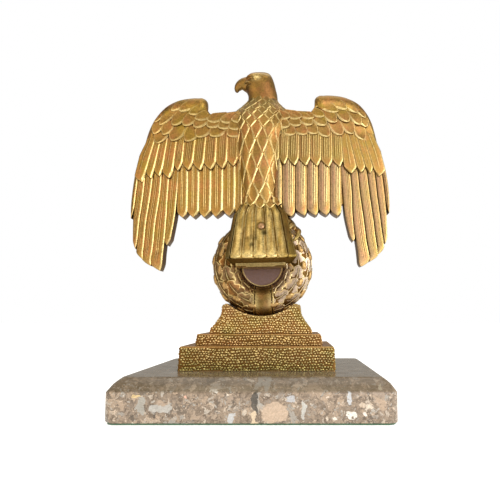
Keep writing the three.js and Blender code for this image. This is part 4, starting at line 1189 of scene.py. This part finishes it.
def addPedestal(casting):
    for step in stepTable:
        addStep(casting, step)
        halfX, halfY = step["half"]
        base = pedestalLook["base"] + step["from"]
        lean = step["taper"] / step["height"]
        for turn in range(4):
            along = halfX if turn % 2 == 0 else halfY
            away = halfY if turn % 2 == 0 else halfX
            c = math.cos(math.pi / 2 * turn)
            s = math.sin(math.pi / 2 * turn)

            def surface(u, v, c=c, s=s, away=away, base=base, lean=lean, step=step):
                inset = lean * v
                right = np.array([c, s, 0.0])
                out = unit(np.array([s, -c, lean]))
                middle = np.array([step["offset"], 0, base + v]) + right * u
                middle = middle + np.array([s, -c, 0]) * (away - inset)
                return middle, right, np.array([0, 0, 1.0]), out

            addPebbles(casting, 2 * along - 1.0, step["height"] - 0.9, surface)
    addNeck(casting)
    offset = np.array([pedestalLook["offset"], 0, pedestalLook["neckBase"]])
    for side in (-1, 1):

        def face(u, v, side=side):
            slope = float(neckHalf(v + 0.1, 2) - neckHalf(v - 0.1, 2)) / 0.2
            up = unit(np.array([0, side * slope, 1.0]))
            out = unit(np.array([0, side, -slope]))
            return offset + np.array([u, side * float(neckHalf(v, 2)), v]), np.array([1.0, 0, 0]), up, out

        def inside(u, v, size):
            return v + pedestalLook["neckBase"] < float(neckTop(abs(u) + 0.9 * size)) - 0.55 * size

        addPebbles(casting, 71, 20.6, face, inside)

        def flank(u, v, side=side):
            slope = float(neckHalf(v + 0.1, 1) - neckHalf(v - 0.1, 1)) / 0.2
            up = unit(np.array([side * slope, 0, 1.0]))
            out = unit(np.array([side, 0, -slope]))
            return offset + np.array([side * float(neckHalf(v, 1)), u, v]), np.array([0, 1.0, 0]), up, out

        addPebbles(casting, 31, 20.2, flank, lambda u, v, size: abs(u) < float(neckHalf(v, 2)) - size)


random.seed(11)
pedestalBronze = newCasting()
addPedestal(pedestalBronze)
print("pedestal shells", pedestalBronze["count"], "points")


# The marble plinth: its upper edge is a wide chamfer, rounded a little; one lower corner is chipped
marbleLook = {"half": (85.0, 65.0), "bottom": 1.2, "top": 26.5, "chip": (4.6, 0.5, 2.0)}


# The same outline with its straight sides cut into short lengths
def slabRing(halfX, halfY, radius, z):
    ring = roundedRing(halfX, halfY, radius, z, 9)
    full = []
    for k, corner in enumerate(ring):
        after = ring[(k + 1) % len(ring)]
        steps = 24 if math.dist(corner, after) > 20 else 1
        full += [tuple(mix(a, b, i / steps) for a, b in zip(corner, after)) for i in range(steps)]
    return full


def addSlab(casting):
    halfX, halfY = marbleLook["half"]
    top = marbleLook["top"]
    rows = [(0.5, 5.0, 1.2), (0.15, 5.0, 1.35), (0, 5.0, 1.8), (0, 5.0, 5), (0, 5.0, 10), (0, 5.0, 15),
            (0, 5.0, 17.9), (0.08, 5.0, 18.5), (0.5, 5.0, 19.1), (1.8, 5.0, 21.0), (3.2, 5.0, 22.9),
            (5.2, 4.0, 24.6), (7.2, 3.2, 26.05), (7.8, 2.8, 26.4), (8.4, 2.5, top), (10, 2.5, top)]
    rings = np.array([slabRing(halfX - inset, halfY - inset, r, z) for inset, r, z in rows])
    bottom = marbleLook["bottom"]
    fromCorner = np.linalg.norm(rings - np.array([-halfX, -halfY, bottom]), axis=2)
    inward = unit(np.array([1.0, 1.0, 0.35]))
    wide, sharp, deep = marbleLook["chip"]
    rings += inward * (smoothStep(wide, sharp, fromCorner) * deep)[..., None]
    rings[..., 2] = np.maximum(rings[..., 2], bottom)
    addShell(casting, rings)


marbleSlab = newCasting()
addSlab(marbleSlab)


# The felt: a thin pad with a ragged edge
feltLook = {"half": (84.0, 64.0), "thick": 1.2, "ragged": 0.35}


def addFelt(casting):
    halfX, halfY = feltLook["half"]
    steps = 900
    ring = np.array(slabRing(halfX, halfY, 5.0, 0.0))
    closed = np.vstack([ring, ring[:1]])
    lengths = np.append(0, np.cumsum(np.linalg.norm(np.diff(closed, axis=0), axis=1)))
    at = np.linspace(0, lengths[-1], steps, endpoint=False)
    edge = np.column_stack([np.interp(at, lengths, closed[:, c]) for c in (0, 1)])
    away = edge / np.array([halfX, halfY])
    away /= np.linalg.norm(away, axis=1)[:, None]
    rings = []
    for z, keep in ((0.0, -0.5), (0.3, 0.0), (0.8, 0.1), (feltLook["thick"], -0.1)):
        rough = np.array([random.uniform(-1, 1) for _ in range(steps)]) * feltLook["ragged"]
        flat = edge + away * (keep + rough)[:, None]
        rings.append(np.column_stack([flat, np.full(steps, z)]))
    addShell(casting, rings)


feltPad = newCasting()
addFelt(feltPad)


# The rivet through the tail, a little domed
rivetLook = {"radius": 2.2, "length": 6.0, "proud": 1.1}


def addRivet(casting):
    look = rivetLook
    x, z = tailLook["rivet"]
    t = (tailLook["top"] - z) / (tailLook["top"] - tailLook["bottom"])
    y = -mix(tailLook["topFront"], tailLook["bottomFront"], t) - look["proud"]
    run = tailLook["bottomFront"] - tailLook["topFront"]
    fall = tailLook["top"] - tailLook["bottom"]
    out = unit(np.array([0.0, -fall, run]))
    up = unit(np.array([0.0, run, fall]))
    right = np.array([1.0, 0.0, 0.0])
    turn = np.linspace(0, 2 * np.pi, 28, endpoint=False)
    rows = [(1.0, -look["length"]), (1.0, -0.35), (0.97, -0.12), (0.86, 0.12), (0.6, 0.3), (0.3, 0.42),
            (0.05, 0.45)]
    circle = look["radius"] * (np.cos(turn)[:, None] * right + np.sin(turn)[:, None] * up)
    rings = [np.array([x, y, z]) + r * circle + out * h for r, h in rows]
    addShell(casting, rings, np.array([0, 0.2, 0.6, 0.4, 0.3, 0.3, 0.3])[:, None])


rivetCopper = newCasting()
addRivet(rivetCopper)
settle(rivetCopper, birdLean)


# Nodes: one helper adds a node with its settings and its inputs, linked or plain

def hexColour(code):
    channels = [int(code[i:i + 2], 16) / 255 for i in (1, 3, 5)]
    return tuple(c / 12.92 if c <= 0.04045 else ((c + 0.055) / 1.055) ** 2.4 for c in channels) + (1.0,)


def perMm(size):
    return 1000.0 / size


def addNode(tree, kind, inputs=None, **settings):
    node = tree.nodes.new(kind)
    for key, value in settings.items():
        setattr(node, key, value)
    for key, value in (inputs or {}).items():
        if isinstance(value, bpy.types.NodeSocket):
            tree.links.new(value, node.inputs[key])
        else:
            node.inputs[key].default_value = value
    return node


def newMaterial(name):
    material = bpy.data.materials.new(name)
    material.use_nodes = True
    material.node_tree.nodes.clear()
    return material, material.node_tree


def finishMaterial(tree, shader):
    addNode(tree, "ShaderNodeOutputMaterial", {"Surface": shader.outputs[0]})


# Sand-cast bronze, chased and waxed: brown in its hollows, deepened there with painted shade from ambient
# occlusion; golden where hands and cloths rub it, and in places a painted highlight
def castBronze(name, look):
    material, tree = newMaterial(name)
    place = addNode(tree, "ShaderNodeTexCoord").outputs["Object"]
    wearAndHighlight = addNode(tree, "ShaderNodeAttribute", attribute_name="wearAndHighlight").outputs["Fac"]
    dirtAndShade = addNode(tree, "ShaderNodeAttribute", attribute_name="dirtAndShade").outputs["Fac"]
    aged = addNode(tree, "ShaderNodeAttribute", attribute_name="patina").outputs["Fac"]
    tone = addNode(tree, "ShaderNodeAttribute", attribute_name="tone").outputs["Fac"]
    patches = addNode(tree, "ShaderNodeTexNoise", {
        "Vector": place, "Scale": perMm(look["patch"]), "Detail": 4.0, "Roughness": 0.6}).outputs["Fac"]
    clouds = addNode(tree, "ShaderNodeTexNoise", {
        "Vector": place, "Scale": perMm(look["patch"] * 2.3), "Detail": 3.0,
        "Distortion": 0.6}).outputs["Fac"]
    speckle = addNode(tree, "ShaderNodeTexNoise", {
        "Vector": place, "Scale": perMm(look["speckle"]), "Detail": 3.0, "Roughness": 0.65}).outputs["Fac"]
    warmth = addNode(tree, "ShaderNodeMapRange", {
        "Value": patches, "From Min": 0.44, "From Max": 0.64}, interpolation_type="SMOOTHSTEP").outputs[0]
    colour = addNode(tree, "ShaderNodeMix", {
        "Factor": warmth, 6: hexColour(look["base"]), 7: hexColour(look["warm"])},
        data_type="RGBA").outputs[2]
    oliveAndSheen = addNode(tree, "ShaderNodeMapRange", {
        "Value": clouds, "From Min": 0.5, "From Max": 0.68, "To Max": look["oliveShare"]},
        interpolation_type="SMOOTHSTEP").outputs[0]
    oliveAndSheen = addNode(tree, "ShaderNodeMath", {0: oliveAndSheen, 1: tone}, operation="MAXIMUM").outputs[0]
    copperAndSheen = addNode(tree, "ShaderNodeMath", {0: tone, 1: -1.0}, operation="MULTIPLY",
                      use_clamp=True).outputs[0]
    for share, layer in ((oliveAndSheen, "oliveAndSheen"), (copperAndSheen, "copperAndSheen")):
        colour = addNode(tree, "ShaderNodeMix", {
            "Factor": share, 6: colour, 7: hexColour(look[layer])}, data_type="RGBA").outputs[2]
    mottle = addNode(tree, "ShaderNodeMapRange", {
        "Value": speckle, "From Min": 0.3, "From Max": 0.7, "To Min": 0.68, "To Max": 1.22}).outputs[0]
    colour = addNode(tree, "ShaderNodeVectorMath", {0: colour, "Scale": mottle}, operation="SCALE").outputs[0]
    aged = addNode(tree, "ShaderNodeMath", {0: aged, 1: addNode(tree, "ShaderNodeMapRange", {
        "Value": speckle, "From Min": 0.25, "From Max": 0.55, "To Min": 0.6}).outputs[0]},
        operation="MULTIPLY").outputs[0]
    # Painted shade: ambient occlusion darkens recesses, creases and gaps between parts towards the hollow
    # colour, on top of the dark patina the bronze has there
    occlusionShade = addNode(tree, "ShaderNodeAmbientOcclusion", {"Distance": look["reach"] * mm},
                        samples=6, only_local=True).outputs["AO"]
    hollow = addNode(tree, "ShaderNodeMapRange", {
        "Value": occlusionShade, "From Min": look["open"], "From Max": look["closed"]}).outputs[0]
    hollow = addNode(tree, "ShaderNodeMath", {0: hollow, 1: dirtAndShade}, operation="MAXIMUM").outputs[0]
    hollow = addNode(tree, "ShaderNodeMath", {0: hollow, 1: look["shadeAndDirtShare"]},
                     operation="MULTIPLY").outputs[0]
    # The worn colour: real rubbing on raised edges, and painted highlight where the wear stands for light
    # from +x
    rubbedAndHighlight = addNode(tree, "ShaderNodeMapRange", {
        "Value": speckle, "From Min": 0.28, "From Max": 0.6, "To Min": 0.35, "To Max": 1.0}).outputs[0]
    rubbedAndHighlight = addNode(tree, "ShaderNodeMath", {0: wearAndHighlight, 1: rubbedAndHighlight}, operation="MULTIPLY").outputs[0]
    rubbedAndHighlight = addNode(tree, "ShaderNodeMath", {0: rubbedAndHighlight, 1: look["wornAndHighlightShare"]},
                     operation="MULTIPLY").outputs[0]
    for share, layer in ((aged, "patina"), (hollow, "hollow"), (rubbedAndHighlight, "wornAndHighlight")):
        colour = addNode(tree, "ShaderNodeMix", {
            "Factor": share, 6: colour, 7: hexColour(look[layer])}, data_type="RGBA").outputs[2]
    rough = addNode(tree, "ShaderNodeMapRange", {
        "Value": speckle, "From Min": 0.3, "From Max": 0.7, "To Min": look["rough"] - 0.06,
        "To Max": look["rough"] + 0.08}).outputs[0]
    rough = addNode(tree, "ShaderNodeMix", {
        "Factor": rubbedAndHighlight, 2: rough, 3: look["rough"] - 0.12}, data_type="FLOAT").outputs[0]
    grain = addNode(tree, "ShaderNodeTexNoise", {
        "Vector": place, "Scale": perMm(look["grain"]), "Detail": 3.0}).outputs["Fac"]
    bump = addNode(tree, "ShaderNodeBump", {
        "Height": grain, "Strength": look["bump"], "Distance": 0.15 * mm}).outputs[0]
    shader = addNode(tree, "ShaderNodeBsdfPrincipled", {
        "Base Color": colour, "Metallic": look["metallic"], "Roughness": rough, "Normal": bump})
    finishMaterial(tree, shader)
    return material


def dress(casting, name, nodeName, material):
    piece = toObject(casting, name)
    piece.data.materials.append(material)
    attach(piece, "root")
    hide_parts(nodeName)
    print(name, len(piece.data.loop_triangles), "triangles")
    return piece


# On the eagle the colour for negative tones is a pale pink: a painted sheen on the right wing's feathers
eagleLook = {
    "base": "#9a783f", "warm": "#a87846", "oliveAndSheen": "#988034", "copperAndSheen": "#a08468", "oliveShare": 0.7,
    "patina": "#3c4022", "hollow": "#3a260f", "shadeAndDirtShare": 0.85, "wornAndHighlight": "#f3dc98", "wornAndHighlightShare": 0.85,
    "patch": 9.0, "speckle": 1.2, "grain": 0.5, "bump": 0.3, "rough": 0.42, "reach": 2.0, "open": 0.7,
    "closed": 0.2, "metallic": 1.0,
}
# For the wreath the olive colour is a pale silver, used as a painted sheen
wreathLooks = dict(eagleLook, base="#725627", warm="#80592e", oliveAndSheen="#cdb9a2", copperAndSheen="#a8693a",
                   patina="#76605a", oliveShare=0.08, patch=6.0, bump=0.5, wornAndHighlightShare=0.75)
pedestalLooks = dict(eagleLook, base="#b48c48", warm="#b8844c", oliveAndSheen="#94903c", copperAndSheen="#a8683a",
                     patch=12.0, hollow="#6a4822", wornAndHighlight="#f0dca0", wornAndHighlightShare=0.9, grain=0.35, bump=0.5)
rivetLooks = dict(eagleLook, base="#a07a50", warm="#a88460", wornAndHighlight="#d8b090", patch=2.0, oliveShare=0.1)
dress(eagleBronze, "eagleCasting", "eagle", castBronze("castBronze", eagleLook))
dress(wreathBronze, "wreathCasting", "wreath", castBronze("castBronzeWreath", wreathLooks))
dress(pedestalBronze, "pedestalCasting", "stepped_pedestal",
      castBronze("pebbledBronze", pedestalLooks))
dress(rivetCopper, "rivetHead", "tail_rivet", castBronze("rubbedCopper", rivetLooks))


# Polished breccia marble: pale and dark stones of many sizes in a grey-brown ground
brecciaLook = {
    "ground": "#9c8b78", "groundDark": "#665849", "chamfer": "#52452c", "chamferReflectionShare": 0.62,
    "rough": 0.16, "dull": 0.4, "drift": 11.0,
    "cells": ((2.8, 0.06, 0.42), (8.0, 0.05, 0.3), (1.2, 0.1, 0.4)),
    "tones": [(0.0, "#544c43"), (0.18, "#7e7060"), (0.34, "#a08e7a"), (0.5, "#b8a28b"), (0.62, "#8c8074"),
              (0.74, "#acaaa2"), (0.86, "#cbb8a2"), (0.95, "#76685a"), (1.0, "#e0d3c0")],
    "stones": [((13.4, -65, 7.4), (7.2, 12, 6.0), "#c3ad96"), ((3.1, -65, 13.6), (2.4, 9, 6.2), "#4a463f"),
               ((30.2, -65, 9.4), (1.9, 6, 5.2), "#bcbbb4"), ((1.8, -65, 4.4), (1.7, 5, 3.6), "#d8c4a6"),
               ((-51, -65, 10.2), (6.4, 8, 2.2), "#b3b1aa"), ((-12, -65, 3.6), (2.8, 5, 2.6), "#bcbebe"),
               ((56.8, -65, 15.8), (1.3, 4, 3.8), "#c3c6c8"), ((-21.8, -65, 18.6), (2.2, 4, 1.0), "#e8e2d6"),
               ((59, -65, 5.8), (2.3, 3, 1.5), "#e9e4da"), ((47.4, -65, 5.0), (1.4, 3, 1.1), "#e4ded2"),
               ((65.6, -65, 5.5), (1.5, 3, 1.2), "#e6e1d8"), ((-37.4, -65, 16.7), (1.6, 3, 1.4), "#d6ab94"),
               ((-66.4, -65, 16.5), (1.6, 3, 1.4), "#d9c08c"), ((74.6, -63, 21.0), (1.8, 3, 1.3), "#d8cdb4"),
               ((23.0, -65, 14.6), (2.6, 4, 1.7), "#b6b7b9"), ((-63, -65, 11), (2.0, 6, 5.0), "#a3a097")],
}


def brecciaMarble(name, look):
    material, tree = newMaterial(name)
    place = addNode(tree, "ShaderNodeTexCoord").outputs["Object"]
    drift = addNode(tree, "ShaderNodeTexNoise", {
        "Vector": place, "Scale": perMm(7), "Detail": 4.0, "Roughness": 0.6}).outputs["Color"]
    drift = addNode(tree, "ShaderNodeVectorMath", {0: drift, 1: (0.5, 0.5, 0.5)},
                    operation="SUBTRACT").outputs[0]
    drift = addNode(tree, "ShaderNodeVectorMath", {0: drift, "Scale": look["drift"] * mm},
                    operation="SCALE").outputs[0]
    warped = addNode(tree, "ShaderNodeVectorMath", {0: place, 1: drift}, operation="ADD").outputs[0]
    fine = addNode(tree, "ShaderNodeTexNoise", {
        "Vector": warped, "Scale": perMm(2.2), "Detail": 6.0, "Roughness": 0.7}).outputs["Fac"]
    colour = addNode(tree, "ShaderNodeMix", {
        "Factor": addNode(tree, "ShaderNodeMapRange", {
            "Value": fine, "From Min": 0.38, "From Max": 0.62}).outputs[0],
        6: hexColour(look["groundDark"]), 7: hexColour(look["ground"])}, data_type="RGBA").outputs[2]
    for size, gap, share in look["cells"]:
        cells = addNode(tree, "ShaderNodeTexVoronoi", {"Vector": warped, "Scale": perMm(size)})
        walls = addNode(tree, "ShaderNodeTexVoronoi", {"Vector": warped, "Scale": perMm(size)},
                        feature="DISTANCE_TO_EDGE").outputs["Distance"]
        tone = addNode(tree, "ShaderNodeSeparateColor", {0: cells.outputs["Color"]})
        ramp = addNode(tree, "ShaderNodeValToRGB", {0: tone.outputs[0]})
        stops = ramp.color_ramp.elements
        while len(stops) < len(look["tones"]):
            stops.new(0.5)
        for stop, (at, code) in zip(stops, look["tones"]):
            stop.position = at
            stop.color = hexColour(code)
        chosen = addNode(tree, "ShaderNodeMath", {0: tone.outputs[1], 1: share},
                         operation="LESS_THAN").outputs[0]
        inside = addNode(tree, "ShaderNodeMapRange", {
            "Value": walls, "From Min": gap * 0.5, "From Max": gap}).outputs[0]
        stone = addNode(tree, "ShaderNodeMath", {0: chosen, 1: inside}, operation="MULTIPLY").outputs[0]
        stone = addNode(tree, "ShaderNodeMath", {0: stone, 1: 0.85}, operation="MULTIPLY").outputs[0]
        colour = addNode(tree, "ShaderNodeMix", {
            "Factor": stone, 6: colour, 7: ramp.outputs[0]}, data_type="RGBA").outputs[2]
    veil = addNode(tree, "ShaderNodeMapRange", {
        "Value": fine, "From Min": 0.3, "From Max": 0.6, "To Min": 0.7, "To Max": 1.0}).outputs[0]
    for middle, size, code in look["stones"]:
        off = addNode(tree, "ShaderNodeVectorMath", {0: warped, 1: tuple(v * mm for v in middle)},
                      operation="SUBTRACT").outputs[0]
        off = addNode(tree, "ShaderNodeVectorMath", {0: off, 1: tuple(1 / (v * mm) for v in size)},
                      operation="MULTIPLY").outputs[0]
        reach = addNode(tree, "ShaderNodeVectorMath", {0: off}, operation="LENGTH").outputs["Value"]
        inside = addNode(tree, "ShaderNodeMapRange", {
            "Value": reach, "From Min": 1.06, "From Max": 0.93}).outputs[0]
        inside = addNode(tree, "ShaderNodeMath", {0: inside, 1: veil}, operation="MULTIPLY").outputs[0]
        colour = addNode(tree, "ShaderNodeMix", {
            "Factor": inside, 6: colour, 7: hexColour(code)}, data_type="RGBA").outputs[2]
    grit = addNode(tree, "ShaderNodeTexNoise", {
        "Vector": place, "Scale": perMm(0.9), "Detail": 4.0, "Roughness": 0.75}).outputs["Fac"]
    grit = addNode(tree, "ShaderNodeMapRange", {
        "Value": grit, "From Min": 0.3, "From Max": 0.7, "To Min": 0.78, "To Max": 1.22}).outputs[0]
    colour = addNode(tree, "ShaderNodeVectorMath", {0: colour, "Scale": grit}, operation="SCALE").outputs[0]
    height = addNode(tree, "ShaderNodeSeparateXYZ", {0: place}).outputs[2]
    # Over the chamfer and the top, a darker olive-brown: partly the polished stone's darker tone, partly a
    # painted reflection of the dark surroundings and the bronze
    upperReflectionMask = addNode(tree, "ShaderNodeMapRange", {
        "Value": height, "From Min": 18.3 * mm, "From Max": 19.4 * mm,
        "To Max": look["chamferReflectionShare"]}).outputs[0]
    colour = addNode(tree, "ShaderNodeMix", {
        "Factor": upperReflectionMask, 6: colour, 7: hexColour(look["chamfer"])}, data_type="RGBA").outputs[2]
    scratches = addNode(tree, "ShaderNodeTexNoise", {
        "Vector": addNode(tree, "ShaderNodeVectorMath", {0: place, 1: (0.12, 1.0, 1.0)},
                          operation="MULTIPLY").outputs[0],
        "Scale": perMm(1.4), "Detail": 3.0}).outputs["Fac"]
    rough = addNode(tree, "ShaderNodeMapRange", {
        "Value": scratches, "From Min": 0.4, "From Max": 0.75, "To Min": look["rough"],
        "To Max": look["dull"]}).outputs[0]
    shader = addNode(tree, "ShaderNodeBsdfPrincipled", {
        "Base Color": colour, "Roughness": rough, "IOR": 1.5})
    finishMaterial(tree, shader)
    return material


# Wool felt: matt green fibres
def woolFelt(name):
    material, tree = newMaterial(name)
    place = addNode(tree, "ShaderNodeTexCoord").outputs["Object"]
    fibre = addNode(tree, "ShaderNodeTexNoise", {
        "Vector": place, "Scale": perMm(0.8), "Detail": 5.0, "Distortion": 1.5}).outputs["Fac"]
    colour = addNode(tree, "ShaderNodeMix", {
        "Factor": fibre, 6: hexColour("#23382c"), 7: hexColour("#5f8a6a")}, data_type="RGBA").outputs[2]
    bump = addNode(tree, "ShaderNodeBump", {
        "Height": fibre, "Strength": 0.6, "Distance": 0.3 * mm}).outputs[0]
    finishMaterial(tree, addNode(tree, "ShaderNodeBsdfPrincipled", {
        "Base Color": colour, "Roughness": 0.95, "Sheen Weight": 0.3, "Normal": bump}))
    return material


dress(marbleSlab, "marbleSlab", "marble_plinth",
      brecciaMarble("polishedBreccia", brecciaLook))
dress(feltPad, "feltPad", "felt_pad", woolFelt("woolFelt"))


# The photograph's view, soft studio light and a pale floor

viewLook = {
    "place": (26.12, -315.17, 62.52), "pitch": 4.0, "sensor": 36.0,  # millimetres and degrees
    "focal": 430.0, "centre": (296.475, 285.894), "side": 500.0,  # pixels of the photograph
}


def addCamera():
    data = bpy.data.cameras.new("photoCamera")
    camera = bpy.data.objects.new("photoCamera", data)
    bpy.context.scene.collection.objects.link(camera)
    side = viewLook["side"]
    data.sensor_width = viewLook["sensor"]
    data.lens = viewLook["sensor"] * viewLook["focal"] / side
    data.shift_x = (side / 2 - viewLook["centre"][0]) / side
    data.shift_y = (viewLook["centre"][1] - side / 2) / side
    data.clip_start = 0.01
    data.clip_end = 50.0
    camera.location = Vector(viewLook["place"]) * mm
    camera.rotation_euler = (math.radians(90 + viewLook["pitch"]), 0.0, 0.0)
    bpy.context.scene.camera = camera


lightLook = [
    {"name": "keySoftbox", "from": (0.66, -0.6, 0.3), "size": (0.35, 0.5), "watts": 3.25, "tint": "#fff9f0"},
    {"name": "sideSoftbox", "from": (0.95, -0.12, 0.2), "size": (0.3, 0.6), "watts": 3.5, "tint": "#f4f6ff"},
    {"name": "frontSoftbox", "from": (0.42, -0.95, 0.38), "size": (0.6, 0.7), "watts": 2.8,
     "tint": "#e6eaff"},
    {"name": "leftSoftbox", "from": (-0.7, -0.75, 0.4), "size": (0.6, 0.7), "watts": 2.5, "tint": "#ffeccf"},
    {"name": "upperSoftbox", "from": (-0.05, -0.55, 0.8), "size": (0.5, 0.3), "watts": 0.9,
     "tint": "#fff2d6"},
    {"name": "topSoftbox", "from": (0.0, 0.05, 0.98), "size": (0.8, 0.8), "watts": 2.5, "tint": "#ffffff"},
]


def addLights():
    aim = Vector((0.0, 0.0, 0.13))
    for look in lightLook:
        data = bpy.data.lights.new(look["name"], "AREA")
        data.shape = "RECTANGLE"
        data.size, data.size_y = look["size"]
        data.energy = look["watts"]
        data.color = hexColour(look["tint"])[:3]
        lamp = bpy.data.objects.new(look["name"], data)
        bpy.context.scene.collection.objects.link(lamp)
        lamp.location = look["from"]
        lamp.rotation_euler = (aim - Vector(look["from"])).to_track_quat("-Z", "Y").to_euler()


def addWorld():
    world = bpy.data.worlds.new("studio")
    world.use_nodes = True
    tree = world.node_tree
    tree.nodes.clear()
    seen = addNode(tree, "ShaderNodeLightPath").outputs["Is Camera Ray"]
    dim = addNode(tree, "ShaderNodeBackground", {"Color": hexColour("#e6e2da"), "Strength": 0.62})
    pale = addNode(tree, "ShaderNodeBackground", {"Color": hexColour("#ffffff"), "Strength": 1.0})
    both = addNode(tree, "ShaderNodeMixShader", {0: seen, 1: dim.outputs[0], 2: pale.outputs[0]})
    addNode(tree, "ShaderNodeOutputWorld", {"Surface": both.outputs[0]})
    bpy.context.scene.world = world


# Pale paper that fades to plain white away from the object; the paper glows, and for rays other than the
# camera's its weaker glow lights the object from below
def addFloor():
    half = 3.0
    mesh = bpy.data.meshes.new("paleFloor")
    corners = [(-half, -half, 0), (half, -half, 0), (half, half, 0), (-half, half, 0)]
    mesh.from_pydata(corners, [], [(0, 1, 2, 3)])
    floor = bpy.data.objects.new("paleFloor", mesh)
    bpy.context.scene.collection.objects.link(floor)
    material, tree = newMaterial("palePaper")
    place = addNode(tree, "ShaderNodeTexCoord").outputs["Object"]
    far = addNode(tree, "ShaderNodeVectorMath", {0: place}, operation="LENGTH").outputs["Value"]
    far = addNode(tree, "ShaderNodeMapRange", {
        "Value": far, "From Min": 0.16, "From Max": 0.5}, interpolation_type="SMOOTHSTEP").outputs[0]
    seen = addNode(tree, "ShaderNodeLightPath").outputs["Is Camera Ray"]
    glow = addNode(tree, "ShaderNodeMapRange", {"Value": far, "To Min": 0.62, "To Max": 1.05}).outputs[0]
    glow = addNode(tree, "ShaderNodeMix", {"Factor": seen, 2: 0.45, 3: glow}, data_type="FLOAT").outputs[0]
    finishMaterial(tree, addNode(tree, "ShaderNodeBsdfPrincipled", {
        "Base Color": hexColour("#e9e8e5"), "Roughness": 0.8, "Emission Color": hexColour("#ffffff"),
        "Emission Strength": glow}))
    mesh.materials.append(material)


addCamera()
addLights()
addWorld()
addFloor()
bpy.context.scene.view_settings.view_transform = "Standard"
print("camera, lights and floor placed")
